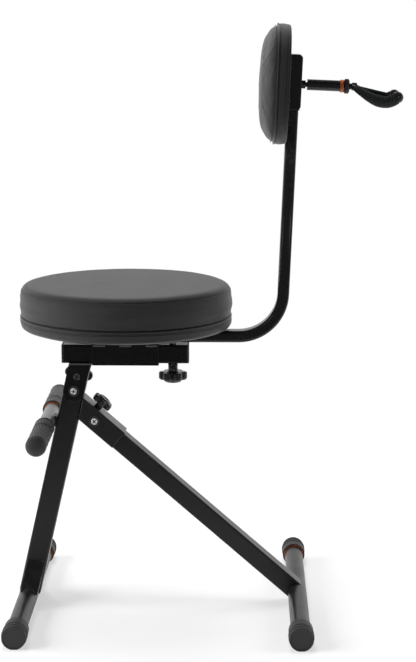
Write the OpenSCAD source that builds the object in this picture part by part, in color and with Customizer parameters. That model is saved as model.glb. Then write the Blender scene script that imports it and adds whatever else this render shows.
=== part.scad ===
// Folding round stool with a sliding padded backrest, a height-adjustable footrest
// and a cushioned instrument hanger. Millimetres, +Z up, the sitter faces -Y.
// The origin lies on the floor, under the middle of the stool's own box.

/* [Stance] */
// Distance between the two foot bars, front to rear
wheelbase = 460; // [380:5:520]
// Overall length of each foot bar with its rubber caps
foot_span = 500; // [400:10:560]
// How far the seat's axis lies behind the front foot bar
seat_setback = 169; // [150:1:190]
// Outside diameter of the foot bars
foot_bar_d = 32; // [28:0.5:34]
// Wall of the foot bars
foot_bar_wall = 1.8; // [1.2:0.1:3]
// Outside diameter of the rubber foot caps
foot_cap_d = 40; // [38:0.5:44]
// Length of a rubber foot cap
foot_cap_l = 45; // [35:1:60]
// Thickness of a foot cap's end disc
foot_cap_end = 5; // [3:0.5:8]
// Depth of the flat that a cap wears where it meets the floor
foot_flat = 0.4; // [0.2:0.1:0.8]

/* [Front leg] */
// Height of the seat hinge above the foot bar's axis
hinge_h = 354; // [330:1:390]
// How far the seat hinge lies behind the front foot bar
hinge_setback = 80.7; // [70:0.1:95]
// Depth of the front leg's tube, seen from the side
leg_d = 36; // [34:0.5:38]
// Width of the front leg's tube
leg_w = 34; // [32:0.5:36]
// Wall of the leg tubes
leg_wall = 2; // [1.5:0.1:2.5]
// Outer corner radius of the leg tubes
leg_corner = 4; // [3:0.1:5]
// Height above the foot bar's axis where the shoe's gussets meet the leg tube
shoe_h = 60; // [50:1:75]
// Width over both gussets where they sit on the foot bar
shoe_w = 126; // [100:1:150]
// Sheet thickness of the gussets
shoe_t = 2.5; // [2:0.1:3]
// How far the gussets stay inside the leg tube's front and back faces
shoe_in = 3; // [2:0.5:5]

/* [Rear leg] */
// Distance from the seat hinge down the front leg to the fold pivot
fold_drop = 43; // [40:0.5:48]
// Distance from the front leg's axis back to the fold pivot
fold_back = 45; // [42:0.5:50]
// Depth of the rear leg's tube, seen from the side
rear_d = 31; // [29:0.5:32]
// Sheet thickness of the fold bracket
bracket_t = 2.5; // [2:0.1:3]
// Length of the fold bracket past its pivot
bracket_tail = 54; // [45:1:60]
// Distance of the lock screw in front of the fold pivot
rear_lock_back = 10; // [8:0.5:11]

/* [Hardware] */
// Diameter of the pivot bolts and of the clamp screws
bolt_d = 8; // [6:0.5:8.5]
// Radial clearance of a pivot bolt in a moving piece
run_fit = 0.05; // [0.02:0.01:0.1]
// Clearance between moving pieces
gap = 0.3; // [0.3:0.05:0.5]
// Diameter of the dark ring washers beside the bolt heads
washer_d = 18; // [15:0.5:19]
// Thickness of those washers
washer_t = 1.5; // [1:0.1:2]
// Diameter of the bright bolt heads
bolt_head_d = 11; // [10:0.5:13]
// Height of the bright bolt heads
bolt_head_h = 3; // [2:0.5:4]
// Width of the nuts across their corners
nut_d = 14; // [13:0.5:15]
// Height of the pivot nuts
nut_h = 4; // [3:0.5:4.5]

/* [Footrest] */
// Overall width of the footrest
footrest_w = 420; // [380:5:460]
// Diameter of the footrest's tube
footrest_d = 25; // [22:0.5:28]
// Wall of the footrest's tube
footrest_wall = 1.8; // [1.5:0.1:2.5]
// Distance of the footrest down the front leg from the seat hinge
footrest_drop = 60.6; // [54:0.1:68]
// How far the footrest slides down the leg
footrest_travel = 120; // [60:5:150]
// Diameter of the rubber grips
grip_d = 34; // [32:0.5:36]
// Bare stretch of tube between the two grips
grip_gap = 130; // [100:2:140]
// Thickness of the curved pad between tube and leg
rest_pad_t = 2.2; // [1.5:0.1:3]

/* [Seat] */
// Diameter of the seat cushion at its widest
seat_d = 355; // [330:1:380]
// Height of the seat board's underside above the seat hinge
seat_up = 106.4; // [100:0.2:118]
// Thickness of the cushion from the board's underside to its upper seam
seat_seam_h = 68.5; // [60:0.5:80]
// Rise of the crown above the upper seam
seat_crown = 9; // [4:0.5:16]
// Height of the piping above the board's underside
seat_pipe_h = 23; // [18:0.5:28]
// How far the seat board's edge stays inside the cushion's widest line
board_inset = 17.5; // [12:0.5:28]
// Thickness of the seat board
board_t = 12; // [9:0.5:15]

/* [Seat frame] */
// Length of the receiver tube under the seat
receiver_l = 214; // [190:1:240]
// How far the receiver reaches in front of the seat's axis
receiver_front = 108.5; // [104:0.5:114]
// Height of the receiver tube
receiver_h = 31.5; // [28:0.5:33]
// Wall of the receiver tube
receiver_wall = 2; // [1.5:0.1:2.5]
// Thickness of the receiver's plastic end plugs outside the tube
plug_t = 3; // [2:0.5:4]
// Sheet thickness of the saddle, its lips and the seat's neck
saddle_t = 3; // [2.5:0.1:3.2]
// Length of the saddle
saddle_l = 112; // [90:1:120]
// How far the saddle reaches in front of the seat's axis
saddle_front = 57; // [50:0.5:60]
// Width of each saddle lip under the board
lip_w = 18; // [14:0.5:24]
// Thickness of the glide strips above and below the bar
glide_t = 4; // [3:0.1:5]
// Height of the seat lock screw above the hinge
seat_lock_up = 25; // [24:0.5:27]
// Distance of the bar clamp screw behind the seat's axis
clamp_y = 78.3; // [70:0.1:90]

/* [Backrest] */
// Width of the backrest bar
bar_w = 30; // [25:0.5:32]
// Depth of the backrest bar
bar_d = 19.5; // [16:0.5:21]
// Wall of the backrest bar
bar_wall = 1.6; // [1.2:0.1:2.5]
// Bend radius of the bar's centreline
bar_bend = 75; // [60:1:90]
// Where the bar's bend starts, behind the seat's axis
bar_back = 188.5; // [170:0.5:200]
// Length of the bar's hidden stretch in front of the seat's axis
bar_front = 90; // [80:1:100]
// Backward lean of the backrest in degrees
recline = 2.4; // [0:0.1:6]
// Height of the pad's middle above the end of the bend
pad_up = 348.5; // [300:0.5:380]
// Height of the backrest pad
pad_h = 195; // [170:1:230]
// Width of the backrest pad
pad_w = 300; // [260:2:340]
// Thickness of the pad from its back to the front seam
pad_band = 20; // [15:0.5:26]
// Rise of the pad's front over the seam
pad_crown = 26; // [16:0.5:30]
// Thickness of the board inside the pad
pad_board_t = 9; // [6:0.5:12]
// Height of the rear bracket
back_bracket_h = 90; // [70:1:110]
// How far the bracket's middle lies above the hanger's axis
back_bracket_up = 3.5; // [0:0.5:8]

/* [Hanger] */
// Diameter of the hanger's tube
hanger_d = 18; // [16:0.5:20]
// Length of the hanger's tube
hanger_l = 54; // [45:0.5:70]
// Diameter of the hanger's sliding rod
rod_d = 10; // [8:0.5:11]
// How far the rod slides out
rod_travel = 35; // [20:1:38]
// Diameter of the knurled collar
collar_d = 24; // [21:0.5:27]
// Distance between the middles of the two yoke arms
yoke_w = 70; // [60:1:80]
// Length of the yoke behind its stem
yoke_l = 82; // [72:1:95]
// Dip of the yoke arms below the stem
yoke_dip = 21; // [12:0.5:28]
// Diameter of the yoke's foam sleeves
foam_d = 20; // [16:0.5:22]

/* [Knobs] */
// Diameter of the bar clamp knob
clamp_knob_d = 48; // [40:1:54]
// Diameter of the seat lock knob
seat_knob_d = 50; // [38:1:52]
// Diameter of the rear leg's lock knob
rear_knob_d = 38; // [32:1:40]

/* [Hidden] */

$fn = 48;
// Overrun of a cut past the face it leaves
cut = 1;
steel = "#1c1c1e";
plastic = "#26262a";
rubber = "#333336";
orange = "#e06a28";
zinc = "#c9ccd0";
vinyl = "#303033";
nylon = "#d8d8d2";
wood = "#b58a58";
foam = "#1f2122";

// Places worked out from the sizes above, measured from the seat's axis
foot_bar_r = foot_bar_d / 2;
foot_cap_r = foot_cap_d / 2;
foot_z = foot_cap_r - foot_flat;
front_foot_y = -seat_setback;
rear_foot_y = wheelbase - seat_setback;
leg_tilt = atan2(hinge_setback, hinge_h);
leg_len = norm([hinge_setback, hinge_h]);
leg_r = leg_d / 2;
footrest_up = leg_len - footrest_drop;
hinge_y = front_foot_y + hinge_setback;
hinge_z = foot_z + hinge_h;
seat_z = hinge_z + seat_up;
board_d = seat_d - 2 * board_inset;
fold_y = hinge_y - fold_drop * sin(leg_tilt) + fold_back * cos(leg_tilt);
fold_z = hinge_z - fold_drop * cos(leg_tilt) - fold_back * sin(leg_tilt);
rear_slope = atan2(fold_z - foot_z, rear_foot_y - fold_y);
rear_len = norm([fold_z - foot_z, rear_foot_y - fold_y]);
rear_r = rear_d / 2;
rear_w = leg_w;
bolt_r = bolt_d / 2;
cheek_in = leg_w / 2 + gap;
fold_cheek = cheek_in + bracket_t;
neck_cheek = cheek_in + saddle_t;
web_in = rear_r + gap;
web_out = web_in + bracket_t;

receiver_w = bar_w + 2 * gap;
bar_z = seat_z - glide_t - gap - bar_d / 2;
receiver_top = bar_z - bar_d / 2 - gap - glide_t;
receiver_bottom = receiver_top - receiver_h;
saddle_half = receiver_w / 2 + saddle_t;

back_y = bar_back + bar_bend * cos(recline);
back_z = bar_z + bar_bend * (1 - sin(recline));
pad_back = -bar_d / 2;
bracket_wall = 3;
stud_bare = 9.3;
hanger_start = bar_d / 2 + bracket_wall + stud_bare;
hanger_end = hanger_start + hanger_l;
hanger_ring_l = 5.7;
collar_l = 9.5;
rod_bare = 5.3;
yoke_start = hanger_end + hanger_ring_l + collar_l + rod_bare;
yoke_tip = yoke_start + yoke_l;
yoke_tip_y = back_y + yoke_tip * cos(recline) + pad_up * sin(recline);

// The whole stool moves along Y so that the origin is under the middle of its box
origin_shift = -(front_foot_y - foot_cap_r + yoke_tip_y) / 2;

module placed() {
    translate([0, origin_shift, 0]) children();
}

module on_leg() {
    placed() translate([0, front_foot_y, foot_z]) rotate([-leg_tilt, 0, 0]) children();
}

module on_hinge() {
    on_leg() translate([0, 0, leg_len]) children();
}

module on_rear() {
    placed() translate([0, fold_y, fold_z]) rotate([-rear_slope, 0, 0]) children();
}

module on_back() {
    placed() translate([0, back_y, back_z]) rotate([-recline, 0, 0]) children();
}

module on_hanger() {
    on_back() translate([0, 0, pad_up]) rotate([-90, 0, 0]) children();
}

// A flat outline drawn as [y, z] and thickened across X, about the middle plane
module across(w) {
    rotate([90, 0, 90]) linear_extrude(w, center = true) children();
}

module rod_x(r, l) {
    rotate([0, 90, 0]) cylinder(r = r, h = l, center = true);
}

module both_sides() {
    children();
    mirror([1, 0, 0]) children();
}

module round_rect(w, d, r) {
    square([w - 2 * r, d], center = true);
    square([w, d - 2 * r], center = true);
    for (x = [-1, 1], y = [-1, 1])
        translate([x * (w / 2 - r), y * (d / 2 - r)]) circle(r);
}

function unit(v) = v / norm(v);

function last_of(v) = v[len(v) - 1];

// Points of an arc, with the angles in degrees
function arc(x, y, r, from, to, n) =
    [for (i = [0 : n]) let (a = from + (to - from) * i / n) [x + r * cos(a), y + r * sin(a)]];

module front_leg_side(inset) {
    top = leg_len;
    shoulder = bolt_r + gap + inset;
    translate([0, top]) circle(leg_r - inset);
    translate([-leg_r + inset, -inset]) square([leg_d - 2 * inset, leg_len + inset]);
    translate([shoulder, top])
        square([leg_r - inset - shoulder, seat_lock_up + 2 * bolt_r - inset]);
}

module front_leg() {
    slot_w = bolt_d + 2 * gap;
    color(steel) on_leg() difference() {
        intersection() {
            linear_extrude(2 * leg_len) round_rect(leg_w, leg_d, leg_corner);
            across(leg_w) front_leg_side(0);
        }
        intersection() {
            linear_extrude(2 * leg_len)
                round_rect(leg_w - 2 * leg_wall, leg_d - 2 * leg_wall, leg_corner - leg_wall);
            across(leg_w) front_leg_side(leg_wall);
        }
        translate([0, 0, leg_len]) rod_x(bolt_r + run_fit, leg_w + 2 * cut);
        // The foot is coped onto the foot bar
        rod_x(foot_bar_r, 2 * leg_w);
        // Slot that the footrest's screw slides in
        for (z = [footrest_up, footrest_up - footrest_travel])
            translate([0, 0, z]) rotate([90, 0, 0]) cylinder(d = slot_w, h = leg_d);
        translate([-slot_w / 2, -leg_d, footrest_up - footrest_travel])
            cube([slot_w, leg_d, footrest_travel]);
    }
}

module front_shoe_front(inset) {
    top = leg_w / 2 - inset;
    foot = shoe_w / 2 - inset;
    polygon([[-foot, 0], [foot, 0], [top, shoe_h], [-top, shoe_h]]);
}

// A folded gusset on each side of the leg tube, coped onto the foot bar
module front_shoe() {
    d = leg_d - 2 * shoe_in;
    lowest = 10;
    color(steel) on_leg() difference() {
        rotate([90, 0, 0]) linear_extrude(d, center = true) front_shoe_front(0);
        rotate([90, 0, 0]) linear_extrude(d - 2 * shoe_t, center = true) front_shoe_front(shoe_t);
        rod_x(foot_bar_r, 2 * shoe_w);
        translate([-shoe_w, -leg_d, lowest - shoe_w]) cube([2 * shoe_w, 2 * leg_d, shoe_w]);
        translate([-leg_w / 2, -leg_d, -leg_d]) cube([leg_w, 2 * leg_d, 2 * shoe_h]);
    }
}

module foot_bar() {
    l = foot_span - 2 * foot_cap_end;
    difference() {
        rod_x(foot_bar_r, l);
        rod_x(foot_bar_r - foot_bar_wall, l + 2 * cut);
    }
}

foot_ring_l = 4;
foot_ring_t = 2.2;
module foot_cap() {
    edge = 2.5;
    outline = concat(
        [[0, 0]],
        arc(foot_cap_r - edge, edge, edge, -90, 0, 6),
        [[foot_cap_r, foot_cap_l], [foot_bar_r + foot_ring_t, foot_cap_l],
         [foot_bar_r + foot_ring_t, foot_cap_l - foot_ring_l],
         [foot_bar_r, foot_cap_l - foot_ring_l], [foot_bar_r, foot_cap_end], [0, foot_cap_end]]);
    difference() {
        translate([foot_span / 2, 0, 0]) rotate([0, -90, 0]) rotate_extrude() polygon(outline);
        translate([0, -foot_cap_d, -foot_cap_d - foot_z]) cube([foot_span, 2 * foot_cap_d, foot_cap_d]);
    }
}

module foot_ring() {
    recess = 0.6;
    translate([foot_span / 2 - foot_cap_l + recess, 0, 0]) rotate([0, 90, 0]) difference() {
        cylinder(r = foot_bar_r + foot_ring_t, h = foot_ring_l - recess);
        translate([0, 0, -cut]) cylinder(r = foot_bar_r, h = foot_ring_l + 2 * cut);
    }
}

module at_front_foot() {
    placed() translate([0, front_foot_y, foot_z]) children();
}

module at_rear_foot() {
    placed() translate([0, rear_foot_y, foot_z]) children();
}

module front_foot_bar() {
    color(steel) at_front_foot() foot_bar();
}

module front_foot_caps() {
    color(rubber) at_front_foot() both_sides() foot_cap();
}

module front_foot_rings() {
    color(orange) at_front_foot() both_sides() foot_ring();
}

module rear_foot_bar() {
    color(steel) at_rear_foot() foot_bar();
}

module rear_foot_caps() {
    color(rubber) at_rear_foot() both_sides() foot_cap();
}

module rear_foot_rings() {
    color(orange) at_rear_foot() both_sides() foot_ring();
}

module fold_bracket() {
    reach = fold_back + leg_d;
    hollow = 150;
    hollow_in = 2;
    color(steel) intersection() {
        on_rear() difference() {
            across(2 * fold_cheek) difference() {
                translate([-reach, -rear_r]) square([reach + bracket_tail, rear_r + web_out]);
                // The end is cut slightly hollow
                translate([bracket_tail + hollow - hollow_in, 0]) circle(hollow, $fn = 96);
            }
            across(2 * cheek_in)
                translate([-reach - cut, -rear_d]) square([reach + bracket_tail + 2 * cut, rear_d + web_in]);
            rod_x(bolt_r, 2 * fold_cheek + 2 * cut);
            translate([0, -rear_lock_back, web_in - cut]) cylinder(r = bolt_r + run_fit, h = bracket_t + 2 * cut);
        }
        on_leg() translate([-leg_w, leg_r, 0]) cube([2 * leg_w, 2 * reach + bracket_tail, leg_len]);
    }
}

// Bolt along X with a cross-slotted head on its +X end
module pivot_bolt(half_l, tail) {
    slot_w = 1.6;
    slot_share = 0.6;
    head_top_share = 0.8;
    difference() {
        union() {
            translate([-half_l - tail, 0, 0]) rotate([0, 90, 0]) cylinder(r = bolt_r, h = 2 * half_l + tail);
            translate([half_l, 0, 0]) rotate([0, 90, 0])
                cylinder(d1 = bolt_head_d, d2 = bolt_head_d * head_top_share, h = bolt_head_h);
        }
        for (a = [0, 90])
            translate([half_l + bolt_head_h, 0, 0]) rotate([a, 0, 0])
                cube([bolt_head_h, slot_w, bolt_head_d * slot_share], center = true);
    }
}

module pivot_washers(half_l) {
    both_sides() translate([half_l - washer_t, 0, 0]) rotate([0, 90, 0]) difference() {
        cylinder(d = washer_d, h = washer_t);
        translate([0, 0, -cut]) cylinder(r = bolt_r, h = washer_t + 2 * cut);
    }
}

module pivot_nut(half_l) {
    translate([-half_l - nut_h, 0, 0]) rotate([0, 90, 0]) difference() {
        cylinder(d = nut_d, h = nut_h, $fn = 6);
        translate([0, 0, -cut]) cylinder(r = bolt_r, h = nut_h + 2 * cut);
    }
}

tail_past_nut = 1.5;
bolt_tail = nut_h + tail_past_nut;

module fold_pivot_bolt() {
    color(zinc) on_rear() pivot_bolt(fold_cheek + washer_t, bolt_tail);
}

module fold_pivot_washers() {
    color(plastic) on_rear() pivot_washers(fold_cheek + washer_t);
}

module fold_pivot_nut() {
    color(zinc) on_rear() pivot_nut(fold_cheek + washer_t);
}

lock_nut_h = 5.2;
module rear_lock_nut() {
    color(steel) on_rear() translate([0, -rear_lock_back, web_out]) difference() {
        cylinder(d = nut_d, h = lock_nut_h, $fn = 6);
        translate([0, 0, -cut]) cylinder(r = bolt_r + run_fit, h = lock_nut_h + 2 * cut);
    }
}

bush_d = 14;
module pivot_bush(w) {
    difference() {
        rod_x(bush_d / 2, w);
        rod_x(bolt_r + run_fit, w + 2 * cut);
    }
}

module seat_pivot_bush() {
    color(zinc) on_hinge() pivot_bush(leg_w - 2 * leg_wall);
}

module fold_bush() {
    color(zinc) on_rear() pivot_bush(rear_w - 2 * leg_wall);
}

module rear_leg_side(inset) {
    circle(rear_r - inset);
    translate([0, -rear_r + inset]) square([rear_len + foot_cap_d, rear_d - 2 * inset]);
}

module rear_leg() {
    corner = 3;
    l = 2 * rear_len;
    color(steel) on_rear() difference() {
        intersection() {
            rotate([-90, 0, 0]) translate([0, 0, -rear_d]) linear_extrude(l) round_rect(rear_w, rear_d, corner);
            across(rear_w) rear_leg_side(0);
        }
        intersection() {
            rotate([-90, 0, 0]) translate([0, 0, -rear_d]) linear_extrude(l)
                round_rect(rear_w - 2 * leg_wall, rear_d - 2 * leg_wall, corner - leg_wall);
            across(rear_w) rear_leg_side(leg_wall);
        }
        rod_x(bolt_r + run_fit, rear_w + 2 * cut);
        // The end is coped onto the foot bar
        translate([0, rear_len, 0]) rod_x(foot_bar_r, rear_w + 2 * cut);
        translate([-rear_w, rear_len, -rear_d]) cube([2 * rear_w, l, 2 * rear_d]);
    }
}

// Lobed grip head along Z: a core with round lobes and a hub under it
module knob_head(d, h, lobes, hub_d, hub_h, turn) {
    lobe_share = 0.17;
    dish_share = 0.25;
    dish_shares = [0.6, 0.5];
    lobe_r = d * lobe_share;
    dish = h * dish_share;
    translate([0, 0, hub_h]) rotate(turn) linear_extrude(h) {
        circle(d / 2 - lobe_r);
        for (i = [0 : lobes - 1]) rotate(i * 360 / lobes)
            translate([d / 2 - lobe_r, 0]) circle(lobe_r);
    }
    cylinder(d = hub_d, h = hub_h + dish);
    translate([0, 0, hub_h + h]) cylinder(d1 = d * dish_shares[0], d2 = d * dish_shares[1], h = dish);
}

rear_hub_h = 1.5;
rear_head_h = 10.5;
module rear_lock_knob() {
    color(plastic) on_rear() translate([0, -rear_lock_back, web_out + lock_nut_h + gap]) difference() {
        knob_head(rear_knob_d, rear_head_h, 6, nut_d, rear_hub_h, 0);
        translate([0, 0, -cut]) cylinder(r = bolt_r, h = rear_hub_h + rear_head_h / 2 + cut);
    }
}

module rear_lock_screw() {
    tip = sqrt(pow(rear_r, 2) - pow(rear_lock_back - bolt_r, 2)) + gap;
    top = web_out + lock_nut_h + gap + rear_hub_h + rear_head_h / 2;
    color(zinc) on_rear() translate([0, -rear_lock_back, tip]) cylinder(r = bolt_r, h = top - tip);
}

rest_y = -leg_r - rest_pad_t - footrest_d / 2;
grip_end = 15;
grip_in = grip_gap / 2;
grip_out = footrest_w / 2 - grip_end;
module on_rest() {
    on_leg() translate([0, rest_y, footrest_up]) children();
}

module footrest_tube() {
    head_clear = 1;
    color("#8f9092") on_rest() difference() {
        rod_x(footrest_d / 2, 2 * grip_out);
        rod_x(footrest_d / 2 - footrest_wall, 2 * grip_out + 2 * cut);
        rotate([90, 0, 0]) cylinder(r = bolt_r, h = 2 * footrest_d, center = true);
        rotate([90, 0, 0]) cylinder(r = bolt_head_d / 2 + head_clear, h = footrest_d);
    }
}

rest_ring_l = 4;
rest_ring_t = 2.4;
module footrest_grips() {
    band_l = 3;
    band_depth = 1;
    band_share = 0.3;
    color(rubber) on_rest() both_sides() difference() {
        translate([grip_in, 0, 0]) rotate([0, 90, 0]) cylinder(d = grip_d, h = grip_out - grip_in);
        rod_x(footrest_d / 2, footrest_w);
        translate([grip_in - cut, 0, 0]) rotate([0, 90, 0])
            cylinder(r = footrest_d / 2 + rest_ring_t, h = rest_ring_l + cut);
        // Plain groove round the grip
        translate([grip_in + (grip_out - grip_in) * band_share, 0, 0]) rotate([0, 90, 0]) difference() {
            cylinder(d = 2 * grip_d, h = band_l);
            cylinder(d = grip_d - 2 * band_depth, h = band_l);
        }
    }
}

module footrest_end_caps() {
    stem = 18;
    r = grip_d / 2;
    flat = 4;
    steps = 8;
    outline = concat([[0, 0], [r, 0], [r, flat]],
        [for (i = [1 : steps]) let (a = 90 * i / steps) [r * cos(a), flat + (grip_end - flat) * sin(a)]]);
    color(rubber) on_rest() both_sides() translate([grip_out, 0, 0]) rotate([0, 90, 0]) {
        rotate_extrude() polygon(outline);
        translate([0, 0, -stem]) cylinder(r = footrest_d / 2 - footrest_wall, h = stem);
    }
}

module footrest_rings() {
    recess = 0.6;
    color(orange) on_rest() both_sides() translate([grip_in + recess, 0, 0]) rotate([0, 90, 0]) difference() {
        cylinder(r = footrest_d / 2 + rest_ring_t, h = rest_ring_l - recess);
        translate([0, 0, -cut]) cylinder(r = footrest_d / 2, h = rest_ring_l + 2 * cut);
    }
}

module footrest_pad() {
    w = 22;
    h = 18;
    back = footrest_d / 2 + rest_pad_t - gap;
    color(plastic) on_rest() difference() {
        translate([-w / 2, 0, -h / 2]) cube([w, back, h]);
        rod_x(footrest_d / 2, w + 2 * cut);
        rotate([90, 0, 0]) cylinder(r = bolt_r, h = 2 * footrest_d, center = true);
    }
}

block_t = 10;
module footrest_screw() {
    back = footrest_d / 2 + rest_pad_t + leg_wall + gap + block_t;
    // The flat head seats on the curved bore of the tube
    seat = sqrt(pow(footrest_d / 2 - footrest_wall, 2) - pow(bolt_head_d / 2, 2));
    color(zinc) on_rest() {
        translate([0, back, 0]) rotate([90, 0, 0]) cylinder(r = bolt_r, h = back - seat);
        translate([0, seat, 0]) rotate([90, 0, 0]) cylinder(r = bolt_head_d / 2, h = bolt_head_h);
    }
}

module slide_block() {
    side_gap = 1.3;
    w = leg_w - 2 * leg_wall - 2 * side_gap;
    h = 40;
    front = footrest_d / 2 + rest_pad_t + leg_wall + gap;
    color(zinc) on_rest() difference() {
        translate([-w / 2, front, -h / 2]) cube([w, block_t, h]);
        rotate([-90, 0, 0]) cylinder(r = bolt_r, h = front + block_t + cut);
    }
}

module receiver() {
    l = receiver_l - 2 * plug_t;
    corner = 3;
    color(steel) placed() difference() {
        translate([0, -receiver_front + plug_t, (receiver_top + receiver_bottom) / 2])
            rotate([-90, 0, 0]) linear_extrude(l) difference() {
                round_rect(receiver_w, receiver_h, corner);
                round_rect(receiver_w - 2 * receiver_wall, receiver_h - 2 * receiver_wall, corner - receiver_wall);
            }
        translate([0, clamp_y, receiver_bottom - cut])
            cylinder(r = bolt_r + gap, h = receiver_h + 2 * cut);
    }
}

module receiver_plug() {
    stem = 14;
    corner = 3;
    linear_extrude(plug_t) round_rect(receiver_w, receiver_h, corner);
    linear_extrude(plug_t + stem)
        round_rect(receiver_w - 2 * receiver_wall, receiver_h - 2 * receiver_wall, corner - receiver_wall);
}

module receiver_plugs() {
    z = (receiver_top + receiver_bottom) / 2;
    color(plastic) placed() {
        translate([0, -receiver_front, z]) rotate([-90, 0, 0]) receiver_plug();
        translate([0, receiver_l - receiver_front, z]) rotate([90, 0, 0]) receiver_plug();
    }
}

screw_d = 5;
screw_x = saddle_half + lip_w / 2;
screw_places = [for (x = [-1, 1], share = [0.16, 0.84]) [x * screw_x, -saddle_front + saddle_l * share]];

module saddle_outline() {
    top = seat_z - receiver_bottom;
    translate([-saddle_half, -saddle_t]) square([2 * saddle_half, saddle_t]);
    for (x = [-saddle_half, saddle_half - saddle_t])
        translate([x, -saddle_t]) square([saddle_t, top + saddle_t]);
    for (x = [-saddle_half - lip_w, saddle_half])
        translate([x, top - saddle_t]) square([lip_w, saddle_t]);
}

module saddle() {
    bead_l = 15;
    bead_r = 2.3;
    bead_pitch = 43.8;
    color(steel) placed() {
        difference() {
            translate([0, saddle_l - saddle_front, receiver_bottom]) rotate([90, 0, 0])
                linear_extrude(saddle_l) saddle_outline();
            for (p = screw_places)
                translate([p[0], p[1], seat_z - saddle_t - cut]) cylinder(d = screw_d, h = saddle_t + 2 * cut);
        }
        // Weld beads that join the saddle's sides to the receiver
        for (side = [-1, 1], i = [-1 : 1])
            translate([side * (saddle_half - bead_r / 2), i * bead_pitch - saddle_front + saddle_l / 2 - bead_l / 2,
                       receiver_top])
                rotate([-90, 0, 0]) cylinder(r = bead_r, h = bead_l, $fn = 24);
    }
}

// The neck is drawn past the receiver's underside and then cut there
neck_top = receiver_bottom - hinge_z + leg_d;
module neck_side() {
    circle(leg_r);
    translate([-leg_r, 0]) square([leg_d, neck_top]);
}

module seat_neck() {
    // The front web starts high enough to pass the leg when the seat folds
    web_clear = 4.3;
    web_t = 2.5;
    web_up = leg_r + web_clear;
    web_y = leg_r - web_t;
    color(steel) difference() {
        on_hinge() difference() {
            across(2 * neck_cheek) neck_side();
            across(2 * cheek_in) union() {
                translate([-leg_d, -leg_d]) square([2 * leg_d, leg_d + web_up]);
                translate([-web_y, -leg_d]) square([2 * leg_d, leg_d + neck_top + cut]);
            }
            rod_x(bolt_r, 2 * neck_cheek + 2 * cut);
            translate([0, 0, seat_lock_up]) rod_x(bolt_r + gap, 2 * neck_cheek + 2 * cut);
            translate([cheek_in - cut, 0, seat_lock_up]) rotate([0, 90, 0])
                cylinder(r = insert_r, h = saddle_t + 2 * cut);
        }
        placed() translate([-leg_w, hinge_y - 3 * leg_d, receiver_bottom]) cube([2 * leg_w, 6 * leg_d, 3 * leg_d]);
    }
}

insert_r = bolt_r + 1.6;
insert_out = 0.8;
module seat_lock_insert() {
    color(steel) on_hinge() translate([cheek_in, 0, seat_lock_up]) rotate([0, 90, 0]) difference() {
        cylinder(r = insert_r, h = saddle_t + insert_out);
        translate([0, 0, -cut]) cylinder(r = bolt_r + run_fit, h = saddle_t + insert_out + 2 * cut);
    }
}

module seat_pivot_bolt() {
    color(zinc) on_hinge() pivot_bolt(neck_cheek + washer_t, bolt_tail);
}

module seat_pivot_washers() {
    color(plastic) on_hinge() pivot_washers(neck_cheek + washer_t);
}

module seat_pivot_nut() {
    color(zinc) on_hinge() pivot_nut(neck_cheek + washer_t);
}

tail_clear = 1;
seat_hub_h = washer_t + bolt_tail + tail_clear;
seat_head_h = 12;
module seat_lock_knob() {
    color(plastic) on_hinge() translate([-neck_cheek - gap, 0, seat_lock_up]) rotate([0, -90, 0]) difference() {
        knob_head(seat_knob_d, seat_head_h, 5, 18, seat_hub_h, 180);
        translate([0, 0, -cut]) cylinder(r = bolt_r, h = seat_hub_h + seat_head_h / 2 + cut);
    }
}

module seat_lock_screw() {
    reach = gap + seat_hub_h + seat_head_h / 2;
    color(steel) on_hinge() translate([-neck_cheek - reach, 0, seat_lock_up]) rotate([0, 90, 0])
        cylinder(r = bolt_r, h = 2 * neck_cheek + reach);
}

module bar_glides() {
    past_screw = 18;
    side_gap = 1;
    rear = clamp_y + past_screw;
    w = receiver_w - 2 * side_gap;
    color(nylon) placed() {
        translate([-w / 2, -saddle_front, seat_z - glide_t]) cube([w, saddle_front + rear, glide_t]);
        translate([-w / 2, -saddle_front, receiver_top]) cube([w, saddle_l, glide_t]);
    }
}

board_skin = 2;
module seat_board() {
    hole_l = board_t - board_skin;
    color(wood) placed() difference() {
        translate([0, 0, seat_z]) cylinder(d = board_d, h = board_t, $fn = 96);
        for (p = screw_places)
            translate([p[0], p[1], seat_z - cut]) cylinder(d = screw_d, h = hole_l + cut);
    }
}

module seat_screws() {
    head_h = 2.6;
    head_d = 9.5;
    hole_l = board_t - board_skin;
    color(zinc) placed() for (p = screw_places) translate([p[0], p[1], 0]) {
        translate([0, 0, seat_z - saddle_t]) cylinder(d = screw_d, h = saddle_t + hole_l);
        translate([0, 0, seat_z - saddle_t - head_h]) cylinder(d = head_d, h = head_h);
    }
}

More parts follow.
